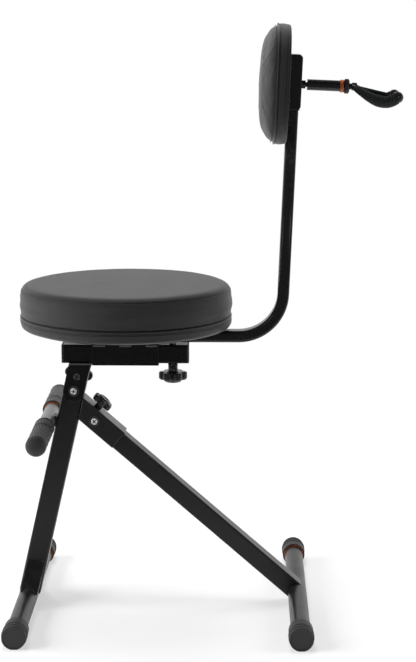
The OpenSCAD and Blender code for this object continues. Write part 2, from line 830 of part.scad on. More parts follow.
// Half outline of the cushion as [radius, height over the board's underside]
board_fit = 0.2;
module cushion_outline() {
    under_in = 2.6;
    under_edge = 4;
    pipe_r = 2.4;
    seam_in = 4.5;
    seam_drop = 1.2;
    groove = 1.4;
    lip = 0.4;
    plump = 2.2;
    steps = 10;
    plump_steps = 3;
    bulge_in = 0.6;
    side_shares = [0.2, 0.45, 0.75];
    side_in = [0, 0, 0.9];
    r = seat_d / 2;
    under_r = r - under_in;
    seam_r = r - seam_in;
    top_r = seam_r - groove;
    side_h = seat_seam_h - seat_pipe_h;
    dome_r = (pow(top_r, 2) + pow(seat_crown, 2)) / (2 * seat_crown);
    dome_a = asin(top_r / dome_r);
    polygon(concat(
        [[board_d / 2 + board_fit, 0], [under_r - under_edge, 0], [under_r, under_edge]],
        arc(r - pipe_r, seat_pipe_h, pipe_r, -70, 70, 6),
        [for (i = [0 : 2]) [r - bulge_in - side_in[i], seat_pipe_h + side_shares[i] * side_h]],
        [[seam_r, seat_seam_h - seam_drop], [top_r, seat_seam_h]],
        [for (i = [0 : steps]) let (a = dome_a * (1 - i / steps))
            [dome_r * sin(a), seat_seam_h + seat_crown - dome_r * (1 - cos(a)) + (i == 0 ? lip : 0)
                + plump * sin(180 * min(1, i / plump_steps))]],
        [[0, board_t + board_fit], [board_d / 2 + board_fit, board_t + board_fit]]));
}

module seat_cushion() {
    color(vinyl) placed() translate([0, 0, seat_z]) rotate_extrude($fn = 96) cushion_outline();
}

module clamp_nut() {
    h = 6;
    color(steel) placed() translate([0, clamp_y, receiver_bottom + receiver_wall]) difference() {
        cylinder(d = nut_d, h = h, $fn = 6);
        translate([0, 0, -cut]) cylinder(r = bolt_r + run_fit, h = h + 2 * cut);
    }
}

clamp_hub_h = 16;
clamp_head_h = 14;
clamp_turn = 30;
module bar_clamp_knob() {
    hub_d = 16.5;
    color(plastic) placed() translate([0, clamp_y, receiver_bottom - gap]) rotate([180, 0, 0]) difference() {
        knob_head(clamp_knob_d, clamp_head_h, 6, hub_d, clamp_hub_h, clamp_turn);
        translate([0, 0, -cut]) cylinder(r = bolt_r, h = clamp_hub_h + clamp_head_h / 2 + cut);
    }
}

module bar_clamp_screw() {
    low = receiver_bottom - gap - clamp_hub_h - clamp_head_h / 2;
    pad_d = 11.5;
    pad_top = bar_z - bar_d / 2 - gap;
    color(zinc) placed() translate([0, clamp_y, 0]) {
        translate([0, 0, low]) cylinder(r = bolt_r, h = pad_top - low);
        translate([0, 0, receiver_top + gap]) cylinder(d = pad_d, h = pad_top - receiver_top - gap);
    }
}

module bar_outline(inset) {
    round_rect(bar_w - 2 * inset, bar_d - 2 * inset, bar_corner - inset);
}

bar_top_gap = 3;
bracket_mid = pad_up + back_bracket_up;
bar_top = bracket_mid + back_bracket_h / 2 - bracket_wall - bar_top_gap;
// The bar is one sweep, outer skin and bore together, so that it stays a closed solid
bar_corner = 5;
bar_corner_steps = 3;
bar_bend_steps = 20;
bar_stations = bar_bend_steps + 3;

function bar_section(inset) = [for (k = [0 : 3]) for (q = [0 : bar_corner_steps])
    let(a = 90 * k + 90 * q / bar_corner_steps,
        side_x = (k == 0 || k == 3) ? 1 : -1,
        side_y = (k < 2) ? 1 : -1,
        r = bar_corner - inset)
    [side_x * (bar_w / 2 - bar_corner) + r * cos(a),
     side_y * (bar_d / 2 - bar_corner) + r * sin(a)]];

// The turn so far, and the straight run before or after it
function bar_turn(i) = (90 - recline) * min(max(i - 1, 0), bar_bend_steps) / bar_bend_steps;
function bar_run(i) = i == 0 ? -bar_front - bar_back : (i == bar_stations - 1 ? bar_top : 0);
function bar_point(i, p) =
    let(a = bar_turn(i), run = bar_run(i))
    [p[0],
     bar_bend * sin(a) + run * cos(a) - p[1] * sin(a),
     bar_bend * (1 - cos(a)) + run * sin(a) + p[1] * cos(a)];

module backrest_bar() {
    n = len(bar_section(0));
    inner = n * bar_stations;
    last = n * (bar_stations - 1);
    pts = concat(
        [for (i = [0 : bar_stations - 1]) for (p = bar_section(0)) bar_point(i, p)],
        [for (i = [0 : bar_stations - 1]) for (p = bar_section(bar_wall)) bar_point(i, p)]);
    skin = [for (i = [0 : bar_stations - 2]) for (j = [0 : n - 1])
        let(k = (j + 1) % n)
        [i * n + j, i * n + k, (i + 1) * n + k, (i + 1) * n + j]];
    bore = [for (f = skin) [inner + f[1], inner + f[0], inner + f[3], inner + f[2]]];
    front_end = [for (j = [0 : n - 1])
        let(k = (j + 1) % n)
        [j, inner + j, inner + k, k]];
    top_end = [for (f = front_end) [last + f[3], last + f[2], last + f[1], last + f[0]]];
    color(steel) difference() {
        placed() translate([0, bar_back, bar_z])
            polyhedron(points = pts, faces = concat(skin, bore, front_end, top_end), convexity = 6);
        on_hanger() cylinder(r = bolt_r, h = bar_d);
    }
}

module bar_plug() {
    stem = 12;
    plug_fit = 0.15;
    color(plastic) placed() translate([0, -bar_front, bar_z]) rotate([-90, 0, 0]) {
        linear_extrude(stem) bar_outline(bar_wall + plug_fit);
        translate([0, 0, -plug_t]) linear_extrude(plug_t) bar_outline(0);
    }
}

bracket_half = bar_w / 2 + bracket_wall;
ear_w = 20;
ear_t = 2.5;
ear_screw_shares = [0.2, 0.8];
ear_screws = [for (x = [-1, 1], share = ear_screw_shares)
    [x * (bracket_half + ear_w / 2), bracket_mid + (share - 0.5) * back_bracket_h]];

module backrest_bracket() {
    rear = bar_d / 2 + bracket_wall;
    low = bracket_mid - back_bracket_h / 2;
    high = low + back_bracket_h;
    corner = 6;
    notch = 4;
    color(steel) on_back() difference() {
        union() {
            across(2 * bracket_half) {
                translate([pad_back, low]) square([rear - pad_back - corner, back_bracket_h]);
                translate([pad_back, low]) square([rear - pad_back, back_bracket_h - corner]);
                translate([rear - corner, high - corner]) circle(corner);
            }
            translate([-bracket_half - ear_w, pad_back, low])
                cube([2 * bracket_half + 2 * ear_w, ear_t, back_bracket_h]);
        }
        translate([-bar_w / 2, pad_back - cut, low - cut])
            cube([bar_w, bar_d + cut, back_bracket_h - bracket_wall + cut]);
        translate([-bracket_half - cut, rear - bracket_wall / 2, low - cut])
            cube([2 * bracket_half + 2 * cut, bracket_wall, notch + cut]);
        translate([0, 0, pad_up]) rotate([-90, 0, 0]) cylinder(r = bolt_r, h = 2 * bar_d);
        for (p = ear_screws) translate([p[0], pad_back - cut, p[1]]) rotate([-90, 0, 0])
            cylinder(d = screw_d, h = ear_t + 2 * cut);
    }
}

oval_power = 2 / 3;
function oval_side(v) = sign(v) * pow(abs(v), oval_power);
function super_oval(w, h, n) =
    [for (i = [0 : n - 1]) let (a = 360 * i / n) [w / 2 * oval_side(cos(a)), h / 2 * oval_side(sin(a))]];

pad_inset = 16;
pad_board_skin = 1;
module backrest_board() {
    color(wood) on_back() difference() {
        translate([0, pad_back, pad_up]) rotate([90, 0, 0])
            linear_extrude(pad_board_t) polygon(super_oval(pad_w - 2 * pad_inset, pad_h - 2 * pad_inset, 48));
        for (p = ear_screws) translate([p[0], pad_back + cut, p[1]]) rotate([90, 0, 0])
            cylinder(d = screw_d, h = pad_board_t - pad_board_skin + cut);
    }
}

module backrest_screws() {
    head_h = 2.6;
    head_d = 9.5;
    color(steel) on_back() for (p = ear_screws) translate([p[0], pad_back + ear_t, p[1]]) rotate([90, 0, 0]) {
        cylinder(d = screw_d, h = ear_t + pad_board_t - pad_board_skin);
        translate([0, 0, -head_h]) cylinder(d = head_d, h = head_h);
    }
}

// Rings of the pad from the back's middle round its edge to the front's middle:
// [inset from the outline, distance in front of the pad's back]
pad_fit = 0.2;
pad_edge_in_shares = [0.31, 0.1, 0.025, 0, 0, 0.088, 0.075, 0, 0, 0.1];
pad_edge_up_shares = [0, 0.06, 0.2, 0.28, 0.37, 0.44, 0.88, 0.92, 1.03, 1.08];
pad_roll_in = 2;
pad_roll_w = 62;
pad_flat_in = 14;
pad_flat_up = 1;
pad_roll_steps = 8;
function pad_rings() =
    let (start = last_of(pad_edge_up_shares) * pad_band,
        rise = pad_band + pad_crown - 2 * pad_flat_up - start,
        i = pad_inset - pad_fit)
    concat(
        [[i, pad_board_t + pad_fit], [i, 0]],
        [for (k = [0 : len(pad_edge_in_shares) - 1])
            [pad_edge_in_shares[k] * pad_inset, pad_edge_up_shares[k] * pad_band]],
        [for (k = [1 : pad_roll_steps]) let (a = 90 * k / pad_roll_steps)
            [pad_roll_in + pad_roll_w * (1 - cos(a)), start + rise * sin(a)]],
        [[pad_roll_in + pad_roll_w + pad_flat_in, pad_band + pad_crown - pad_flat_up]]);

module backrest_pad() {
    n = 48;
    rings = pad_rings();
    m = len(rings);
    points = concat(
        [[0, -pad_board_t - pad_fit, 0]],
        [for (r = rings) for (p = super_oval(pad_w - 2 * r[0], pad_h - 2 * r[0], n)) [p[0], -r[1], p[1]]],
        [[0, -pad_band - pad_crown, 0]]);
    last = len(points) - 1;
    faces = concat(
        [for (i = [0 : n - 1]) [0, 1 + i, 1 + (i + 1) % n]],
        [for (k = [0 : m - 2], i = [0 : n - 1]) let (a = 1 + k * n, b = a + n, j = (i + 1) % n)
            [a + i, b + j, a + j]],
        [for (k = [0 : m - 2], i = [0 : n - 1]) let (a = 1 + k * n, b = a + n, j = (i + 1) % n)
            [a + i, b + i, b + j]],
        [for (i = [0 : n - 1]) let (a = 1 + (m - 1) * n) [a + (i + 1) % n, a + i, last]]);
    color(vinyl) on_back() translate([0, pad_back, pad_up]) polyhedron(points, faces);
}

stud_in = bar_d / 2 - bar_wall;
module hanger_stud() {
    nut_l = 6;
    color(steel) on_hanger() translate([0, 0, stud_in - nut_l])
        cylinder(r = bolt_r, h = hanger_start + tube_solid_l - stud_in + nut_l);
}

module hanger_nuts() {
    inner_h = 6;
    outer_h = 6.5;
    outer_more = 1;
    color(steel) on_hanger() difference() {
        union() {
            translate([0, 0, stud_in - inner_h]) cylinder(d = nut_d, h = inner_h, $fn = 6);
            translate([0, 0, bar_d / 2 + bracket_wall]) cylinder(d = nut_d + outer_more, h = outer_h, $fn = 6);
        }
        cylinder(r = bolt_r, h = hanger_start);
    }
}

tube_solid_l = 8;
ring_seat_t = 1.5;
ring_proud = 1.4;
module hanger_tube() {
    bore_r = rod_d / 2 + run_fit;
    color(steel) on_hanger() translate([0, 0, hanger_start]) difference() {
        union() {
            cylinder(d = hanger_d, h = hanger_l);
            cylinder(d = hanger_d - 2 * ring_seat_t, h = hanger_l + hanger_ring_l);
        }
        translate([0, 0, -cut]) cylinder(r = bolt_r, h = tube_solid_l + cut);
        translate([0, 0, tube_solid_l]) cylinder(r = bore_r, h = hanger_l + hanger_ring_l);
    }
}

module hanger_ring() {
    color(orange) on_hanger() translate([0, 0, hanger_end]) difference() {
        cylinder(d = hanger_d + 2 * ring_proud, h = hanger_ring_l);
        translate([0, 0, -cut]) cylinder(d = hanger_d - 2 * ring_seat_t, h = hanger_ring_l + 2 * cut);
    }
}

module hanger_collar() {
    ribs = 28;
    rib_r = 0.9;
    r = collar_d / 2 - rib_r;
    color(plastic) on_hanger() translate([0, 0, hanger_end + hanger_ring_l + gap]) difference() {
        linear_extrude(collar_l - gap) {
            circle(r);
            for (i = [0 : ribs - 1]) rotate(i * 360 / ribs) translate([r, 0]) circle(rib_r, $fn = 16);
        }
        translate([0, 0, -cut]) cylinder(r = rod_d / 2 + run_fit, h = collar_l + 2 * cut);
    }
}

rod_pin_r = 3;
rod_pin_l = 5;
stem_l = 8;
stem_back = 1;
module hanger_rod() {
    back_gap = 1;
    back = hanger_start + tube_solid_l + back_gap;
    color(steel) on_hanger() translate([0, 0, back]) {
        cylinder(d = rod_d, h = yoke_start - stem_back - gap - back);
        cylinder(r = rod_pin_r, h = yoke_start - stem_back + rod_pin_l - back);
    }
}

// One arm of the yoke: out from the stem on an arc, then straight back, with a dip
yoke_r = yoke_w / 2;
yoke_turn = 30;
yoke_tip_l = 6;
yoke_bow_share = 0.45;
yoke_low_share = 0.64;
yoke_sag_share = 0.55;
yoke_fall_power = 1.2;
function yoke_drop(y) =
    let (low = yoke_low_share * yoke_l,
        t = min(1, (y - low) / (yoke_sag_share * yoke_l)))
    -yoke_dip * (y < low ? pow(sin(90 * max(0, y) / low), yoke_fall_power) : pow(cos(90 * t), 2));
function yoke_point(s) =
    let (a = min(90, 90 * s / yoke_bow_share),
        rest = max(0, (s - yoke_bow_share) / (1 - yoke_bow_share)),
        y = yoke_turn * (1 - cos(a)) + rest * (yoke_l - yoke_tip_l - yoke_turn))
    [yoke_r * sin(a), y, yoke_drop(y)];

// Round tube along one arm between two shares of its length, slimmer at its start
taper_share = 0.4;
module arm_tube(r, from_share, to_share, sides, steps, slim = 1) {
    s = [for (i = [0 : steps]) from_share + (to_share - from_share) * i / steps];
    step_share = 0.005;
    rings = [for (t = s) let (
            p = yoke_point(t),
            dir = unit(yoke_point(min(1, t + step_share)) - yoke_point(max(0, t - step_share))),
            side = unit(cross(dir, [0, 0, 1])),
            up = cross(side, dir),
            w = r * (slim + (1 - slim) * min(1, (t - from_share) / taper_share)))
        [for (k = [0 : sides - 1]) let (a = 360 * k / sides) p + w * cos(a) * side + w * sin(a) * up]];
    points = concat([for (g = rings) each g], [yoke_point(s[0])], [yoke_point(s[steps])]);
    first = len(points) - 2;
    last = len(points) - 1;
    faces = concat(
        [for (i = [0 : steps - 1], k = [0 : sides - 1]) let (a = i * sides, b = a + sides, j = (k + 1) % sides)
            [a + k, a + j, b + j]],
        [for (i = [0 : steps - 1], k = [0 : sides - 1]) let (a = i * sides, b = a + sides, j = (k + 1) % sides)
            [a + k, b + j, b + k]],
        [for (k = [0 : sides - 1]) [first, (k + 1) % sides, k]],
        [for (k = [0 : sides - 1]) let (a = steps * sides) [last, a + k, a + (k + 1) % sides]]);
    polyhedron(points, faces, convexity = 4);
}

module on_yoke() {
    on_back() translate([0, yoke_start, pad_up]) children();
}

core_r = 4;
stem_wall = 1.5;
arm_start_share = 0.02;
foam_start_share = 0.17;
foam_slim_share = 0.55;
core_fit = 0.2;
foam_end_share = 0.93;
module yoke_frame() {
    color(steel) on_yoke() difference() {
        union() {
            translate([0, -stem_back, 0]) rotate([-90, 0, 0]) cylinder(d = rod_d + 2 * stem_wall, h = stem_l);
            both_sides() arm_tube(core_r, arm_start_share, foam_end_share, 8, 20);
        }
        translate([0, -stem_back - cut, 0]) rotate([-90, 0, 0])
            cylinder(r = rod_pin_r + run_fit, h = rod_pin_l + cut + gap);
        // The arms end flush with the stem's back, clear of the rod
        translate([-rod_d, -stem_back - 2 * rod_d, -rod_d]) cube([2 * rod_d, 2 * rod_d, 2 * rod_d]);
    }
}

module yoke_foam() {
    color(foam) on_yoke() both_sides() difference() {
        arm_tube(foam_d / 2, foam_start_share, foam_end_share, 12, 14, foam_slim_share);
        arm_tube(core_r + core_fit, arm_start_share, 1, 8, 20);
    }
}

module yoke_tips() {
    inside = 0.5;
    rim = 2;
    off_foam = 0.1;
    step_share = 0.005;
    r = foam_d / 2 - inside;
    dir = yoke_point(foam_end_share + step_share) - yoke_point(foam_end_share - step_share);
    color(plastic) on_yoke() both_sides() translate(yoke_point(foam_end_share) + off_foam * unit(dir))
        rotate([atan2(dir[2], dir[1]) - 90, 0, 0]) {
            cylinder(r = r, h = rim);
            translate([0, 0, rim]) difference() {
                sphere(r);
                translate([-foam_d, -foam_d, -2 * foam_d]) cube(2 * foam_d);
            }
        }
}

front_leg();
front_shoe();
front_foot_bar();
front_foot_caps();
front_foot_rings();
fold_bracket();
fold_pivot_bolt();
fold_pivot_washers();
fold_pivot_nut();
rear_lock_nut();
seat_pivot_bush();
rear_leg();
rear_foot_bar();
rear_foot_caps();
rear_foot_rings();
fold_bush();
rear_lock_knob();
rear_lock_screw();
footrest_tube();
footrest_grips();
footrest_end_caps();
footrest_rings();
footrest_pad();
footrest_screw();
slide_block();
receiver();
receiver_plugs();
saddle();
seat_neck();
seat_pivot_bolt();
seat_pivot_washers();
seat_pivot_nut();
seat_lock_insert();
bar_glides();
seat_board();
seat_screws();
seat_cushion();
clamp_nut();
seat_lock_knob();
seat_lock_screw();
bar_clamp_knob();
bar_clamp_screw();
backrest_bar();
bar_plug();
backrest_bracket();
backrest_board();
backrest_screws();
backrest_pad();
hanger_stud();
hanger_nuts();
hanger_tube();
hanger_ring();
hanger_collar();
hanger_rod();
yoke_frame();
yoke_foam();
yoke_tips();
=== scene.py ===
import math

import bpy
import bmesh
from mathutils import Matrix, Vector, noise


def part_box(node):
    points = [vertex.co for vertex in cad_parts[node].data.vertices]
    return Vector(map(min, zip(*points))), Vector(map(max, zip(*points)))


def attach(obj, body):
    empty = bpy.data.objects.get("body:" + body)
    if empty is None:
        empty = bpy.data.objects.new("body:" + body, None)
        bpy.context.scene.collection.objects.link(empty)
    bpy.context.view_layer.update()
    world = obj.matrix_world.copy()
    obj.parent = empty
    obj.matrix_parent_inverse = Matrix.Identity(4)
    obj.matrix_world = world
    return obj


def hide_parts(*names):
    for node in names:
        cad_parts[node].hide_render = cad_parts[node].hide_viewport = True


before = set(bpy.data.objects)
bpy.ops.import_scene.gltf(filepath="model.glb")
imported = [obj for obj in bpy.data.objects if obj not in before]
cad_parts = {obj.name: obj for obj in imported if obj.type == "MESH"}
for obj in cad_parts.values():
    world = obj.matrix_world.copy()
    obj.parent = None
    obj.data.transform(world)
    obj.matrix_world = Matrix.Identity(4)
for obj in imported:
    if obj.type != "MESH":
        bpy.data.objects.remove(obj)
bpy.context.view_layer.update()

# Looks of the folding round stool: seat, sliding backrest, footrest and instrument hanger.
# Sizes are in millimetres and become metres through MM.
MM = 0.001


def middle(node):
    """Middle of a CAD node's box, in metres."""
    low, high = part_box(node)
    return (low + high) / 2


def shift(x, y, z):
    """A move given in millimetres."""
    return Matrix.Translation(Vector((x, y, z)) * MM)


def turn(angle, axis):
    """A turn given in degrees."""
    return Matrix.Rotation(math.radians(angle), 4, axis)


def at(place, x, y, z):
    """A point in metres from its millimetres in a leaning frame."""
    return place @ (Vector((x, y, z)) * MM)


def around(place, radius, angle, height):
    """A point round the z axis of a leaning frame."""
    return at(place, radius * math.cos(angle), radius * math.sin(angle), height)


def out_from(place, x, radius, angle):
    """A point round the x axis of a leaning frame."""
    return at(place, x, radius * math.cos(angle), radius * math.sin(angle))


# Driving sizes of the stool, in millimetres
SEAT_D = 355.0
SEAT_BOARD_D = 320.0
SEAT_BOARD_Z = 480.0
SEAT_BOARD_T = 12.0
SEAT_SEAM_H = 68.5
SEAT_CROWN = 7.2
# Steep rolled edge inside the upper seam: (inset, height over the seam)
SEAT_ROLL = ((5.3, 1.1), (5.9, 2.1), (7.2, 3.3), (9.0, 4.5), (11.4, 5.5),
             (14.2, 6.2), (17.2, 6.6), (21.0, 6.8), (26.0, 6.9), (32.0, 6.95))
SEAT_PIPE_H = 23.0
PAD_W = 300.0
PAD_H = 195.0
PAD_BAND = 20.0
PAD_CROWN = 26.0
PAD_BOARD_T = 9.0
PAD_INSET = 16.0
BAR_W = 30.0
BAR_D = 19.5
BAR_WALL = 1.6
BAR_CORNER = 5.0
BAR_BEND = 75.0
BAR_BACK = 188.5
BAR_FRONT = 90.0
RECLINE = 2.4            # degrees
PAD_UP = 348.5
BAR_TOP = PAD_UP + 42.5
GRIP_D = 34.0
REST_TUBE_D = 25.0
LEG_RUN, LEG_RISE = 80.7, 354.0
LEG_TILT = math.degrees(math.atan2(LEG_RUN, LEG_RISE))
FOLD_LEAN = 41.206       # lean of the fold joint's bolt and knob, in degrees
CAP_D = 40.0

SEAT_Y = middle("seat_cushion").y
BAR_Z = (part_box("bar_plug")[0].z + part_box("bar_plug")[1].z) / 2
BACK_Y = SEAT_Y + (BAR_BACK + BAR_BEND * math.cos(math.radians(RECLINE))) * MM
BACK_Z = BAR_Z + BAR_BEND * (1 - math.sin(math.radians(RECLINE))) * MM

# Leaning frames: the backrest's local z runs up the bar, the leg's up the front leg
BACK_PLACE = Matrix.Translation((0, BACK_Y, BACK_Z)) @ turn(-RECLINE, "X")
REST_PLACE = Matrix.Translation(middle("footrest_tube")) @ turn(-LEG_TILT, "X")


def close_mesh(mesh, merged=True):
    """Merges doubled points where asked and turns the faces outwards."""
    work = bmesh.new()
    work.from_mesh(mesh)
    if merged:
        bmesh.ops.remove_doubles(work, verts=work.verts, dist=1e-6)
    bmesh.ops.recalc_face_normals(work, faces=work.faces)
    work.to_mesh(mesh)
    work.free()


def new_object(name, data):
    made = bpy.data.objects.new(name, data)
    bpy.context.scene.collection.objects.link(made)
    return made


def add_piece(name, verts, faces, body, finish, replaced=(), merged=True):
    """A new mesh piece, its points in metres, riding on a body."""
    mesh = bpy.data.meshes.new(name)
    mesh.from_pydata([tuple(v) for v in verts], [], faces)
    if merged:
        close_mesh(mesh)
    piece = new_object(name, mesh)
    dress(piece, body, finish, replaced)
    return piece


def dress(piece, body, finish, replaced=()):
    """Gives a finished mesh its material and body, smooth shading, and hides the CAD nodes it
    replaces.
    """
    piece.data.materials.clear()
    piece.data.materials.append(finish)
    for face in piece.data.polygons:
        face.use_smooth = True
        face.material_index = 0
    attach(piece, body)
    if replaced:
        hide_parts(*replaced)


def ring_faces(rings, sides, caps=True, closed=False):
    """Quads between rings of the same number of points, closed in a loop or with flat caps."""
    faces = []
    last = rings if closed else rings - 1
    for r in range(last):
        a, b = r * sides, (r + 1) % rings * sides
        for k in range(sides):
            n = (k + 1) % sides
            faces.append((a + k, a + n, b + n, b + k))
    if caps and not closed:
        faces.append(tuple(reversed(range(sides))))
        faces.append(tuple(range((rings - 1) * sides, rings * sides)))
    return faces


def lathe(outline, place, sides, closed=True):
    """Turns an outline of (radius, height) in millimetres round the z axis of a place."""
    verts = []
    for r, h in outline:
        verts += [around(place, r, math.tau * k / sides, h) for k in range(sides)]
    return verts, ring_faces(len(outline), sides, closed=closed)


def arc(x, y, r, start, end, steps):
    """Points of an arc, angles in degrees."""
    points = []
    for i in range(steps + 1):
        a = math.radians(start + (end - start) * i / steps)
        points.append((x + r * math.cos(a), y + r * math.sin(a)))
    return points


def rounded_section(w, d, corner, steps):
    """A rounded rectangle as a closed loop of (x, y)."""
    points = []
    for quarter, (sx, sy) in enumerate(((1, 1), (-1, 1), (-1, -1), (1, -1))):
        x, y, start = sx * (w / 2 - corner), sy * (d / 2 - corner), 90 * quarter
        points += arc(x, y, corner, start, start + 90, steps)
    return points


def super_oval(w, h, n):
    """The pad's outline: an oval with straightened sides, as a closed loop of (x, z)."""
    power = 2 / 3
    points = []
    for i in range(n):
        a = math.tau * i / n
        c, s = math.cos(a), math.sin(a)
        x, z = math.copysign(abs(c) ** power, c), math.copysign(abs(s) ** power, s)
        points.append((w / 2 * x, h / 2 * z))
    return points


# Shader groups


class Tree:
    """Short way to add and join shader nodes."""

    def __init__(self, nodes_tree):
        self.tree = nodes_tree

    def add(self, kind, settings=None, **inputs):
        node = self.tree.nodes.new(kind)
        for key, value in (settings or {}).items():
            setattr(node, key, value)
        for key, value in inputs.items():
            name = int(key[1:]) if key[0] == "i" and key[1:].isdigit() else key.replace("_", " ")
            self.put(node.inputs[name], value)
        return node

    def put(self, socket, value):
        if isinstance(value, bpy.types.NodeSocket):
            self.tree.links.new(value, socket)
        else:
            socket.default_value = value

    def calc(self, how, a, b=0.0):
        return self.add("ShaderNodeMath", {"operation": how}, i0=a, i1=b).outputs[0]

    def plus(self, a, b):
        return self.calc("ADD", a, b)

    def times(self, a, b):
        return self.calc("MULTIPLY", a, b)

    def per(self, size, share=1.0):
        return self.calc("DIVIDE", share, size)

    def larger(self, a, b):
        return self.calc("MAXIMUM", a, b)

    def cloud(self, place, scale, detail, **more):
        return self.add("ShaderNodeTexNoise", Vector=place, Scale=scale, Detail=detail,
                        **more).outputs

    def cells(self, kind, place, scale, **more):
        return self.add("ShaderNodeTexVoronoi", {"feature": kind}, Vector=place, Scale=scale,
                        **more).outputs["Distance"]

    def vector(self, how, a, **more):
        node = self.add("ShaderNodeVectorMath", {"operation": how}, i0=a, **more)
        return node.outputs["Value" if how in ("DOT_PRODUCT", "LENGTH") else "Vector"]

    def place(self):
        return self.add("ShaderNodeTexCoord").outputs["Object"]

    def axis(self, vector, index):
        return self.add("ShaderNodeSeparateXYZ", i0=vector).outputs[index]

    def span(self, value, low, high, to_low=0.0, to_high=1.0):
        node = self.add("ShaderNodeMapRange", {"interpolation_type": "SMOOTHSTEP"})
        for socket, v in zip(node.inputs, (value, low, high, to_low, to_high)):
            self.put(socket, v)
        return node.outputs[0]

    def mix(self, share, a, b):
        node = self.add("ShaderNodeMix", {"data_type": "RGBA"})
        for name, v in (("Factor_Float", share), ("A_Color", a), ("B_Color", b)):
            self.put(next(s for s in node.inputs if s.identifier == name), v)
        return next(s for s in node.outputs if s.identifier == "Result_Color")


def shader_group(name, inputs, outputs):
    """An empty shader group with named sockets, all of them floats but a normal."""
    group = bpy.data.node_groups.new(name, "ShaderNodeTree")
    for way, labels in (("INPUT", inputs), ("OUTPUT", outputs)):
        for label in labels:
            kind = "NodeSocketVector" if label == "Normal" else "NodeSocketFloat"
            group.interface.new_socket(label, in_out=way, socket_type=kind)
    tree = Tree(group)
    return tree, tree.add("NodeGroupInput").outputs, tree.add("NodeGroupOutput").inputs


def make_edge_wear_and_highlight():
    """Rounded normals and a mask along outer edges: a steady share of painted highlight on every
    edge, raised in broken patches of wear.
    """
    t, given, out = shader_group("edge_wear_and_highlight", ("Radius", "Patch size", "Amount"),
                                 ("Mask", "Normal"))
    soft = t.add("ShaderNodeBevel", {"samples": 6}, Radius=given["Radius"])
    flat = t.add("ShaderNodeNewGeometry").outputs["True Normal"]
    near_edge = t.span(t.vector("DOT_PRODUCT", soft.outputs[0], i1=flat), 0.985, 0.8)
    patches = t.cloud(t.place(), t.per(given["Patch size"]), 5.0)
    broken = t.span(patches[0], 0.48, 0.68)
    # A steady 0.45 share is painted highlight along every edge; the broken patches add wear on top.
    wear_and_highlight_share = t.plus(0.45, t.times(broken, 0.55))
    t.put(out["Mask"], t.times(t.times(near_edge, wear_and_highlight_share), given["Amount"]))
    t.put(out["Normal"], soft.outputs[0])
    return t.tree


def make_surface_tone():
    """Slow patches, fine specks and faint rubs: a tone and a roughness change."""
    t, given, out = shader_group("surface_tone", ("Patch size", "Speck size", "Rub"),
                                 ("Tone", "Rough"))
    place = t.place()
    slow = t.cloud(place, t.per(given["Patch size"]), 4.0, Roughness=0.6)
    fine = t.cloud(place, t.per(given["Speck size"]), 2.0)
    t.put(out["Tone"], t.plus(t.times(slow[0], 0.7), t.times(fine[0], 0.3)))
    stretched = t.vector("MULTIPLY", place, i1=(260.0, 40.0, 60.0))
    rubs = t.cloud(stretched, 1.0, 6.0, Roughness=0.7)
    t.put(out["Rough"], t.times(t.span(rubs[0], 0.5, 0.75), given["Rub"]))
    return t.tree


def make_orange_peel():
    """Fine skin of powder coat or moulded plastic, as a height."""
    t, given, out = shader_group("orange_peel", ("Size",), ("Height",))
    place = t.place()
    skin = t.cells("SMOOTH_F1", place, t.per(given["Size"]), Smoothness=1.0)
    rolling = t.cloud(place, t.per(given["Size"], 0.4), 2.0)
    t.put(out["Height"], t.plus(skin, rolling[0]))
    return t.tree


def make_hide_grain():
    """Pebbled grain of leatherette: raised pebbles, creases between them and a tone that is partly
    random drift and partly painted shade in the creases.
    """
    t, given, out = shader_group("hide_grain", ("Pebble",), ("Height", "Tone"))
    place = t.place()
    drift = t.cloud(place, t.per(given["Pebble"], 0.25), 3.0)
    bend = t.vector("SCALE", drift["Color"], Scale=t.times(given["Pebble"], 0.9))
    bent = t.vector("ADD", place, i1=bend)
    scale = t.per(given["Pebble"])
    fold = t.span(t.cells("DISTANCE_TO_EDGE", bent, scale), 0.0, 0.22)
    t.put(out["Height"], t.calc("SUBTRACT", fold, t.times(t.cells("F1", bent, scale), 0.5)))
    # The tone is low in the creases: painted shade there, mixed with a random drift.
    t.put(out["Tone"], t.plus(t.times(fold, 0.6), t.times(drift[0], 0.4)))
    return t.tree


def make_dust():
    """Thin dust on faces that look up."""
    t, given, out = shader_group("settled_dust", ("Amount",), ("Mask",))
    up = t.axis(t.add("ShaderNodeNewGeometry").outputs["Normal"], 2)
    patches = t.cloud(t.place(), 35.0, 6.0, Roughness=0.7)
    lying = t.times(t.span(up, 0.2, 1.0), t.span(patches[0], 0.35, 0.75))
    t.put(out["Mask"], t.times(lying, given["Amount"]))
    return t.tree


GROUPS = {
    "wear_and_highlight": make_edge_wear_and_highlight(),
    "tone": make_surface_tone(),
    "peel": make_orange_peel(),
    "grain": make_hide_grain(),
    "dust": make_dust(),
}


# Finishes

METAL_EDGE = 0.0004      # rounding of bare metal's edges, in metres
SLOT_HALF = (0.0007, 0.001)      # half the width of a bolt's cross slot, soft edged, in metres
SLOT_REACH = (0.0034, 0.0042)    # reach of its arms from the middle
RUBBER_SKIN = {"skin": 0.00005, "edge_radius": 0.0012, "edge": 0.35, "edge_wear_and_highlight_colour": 0.09}


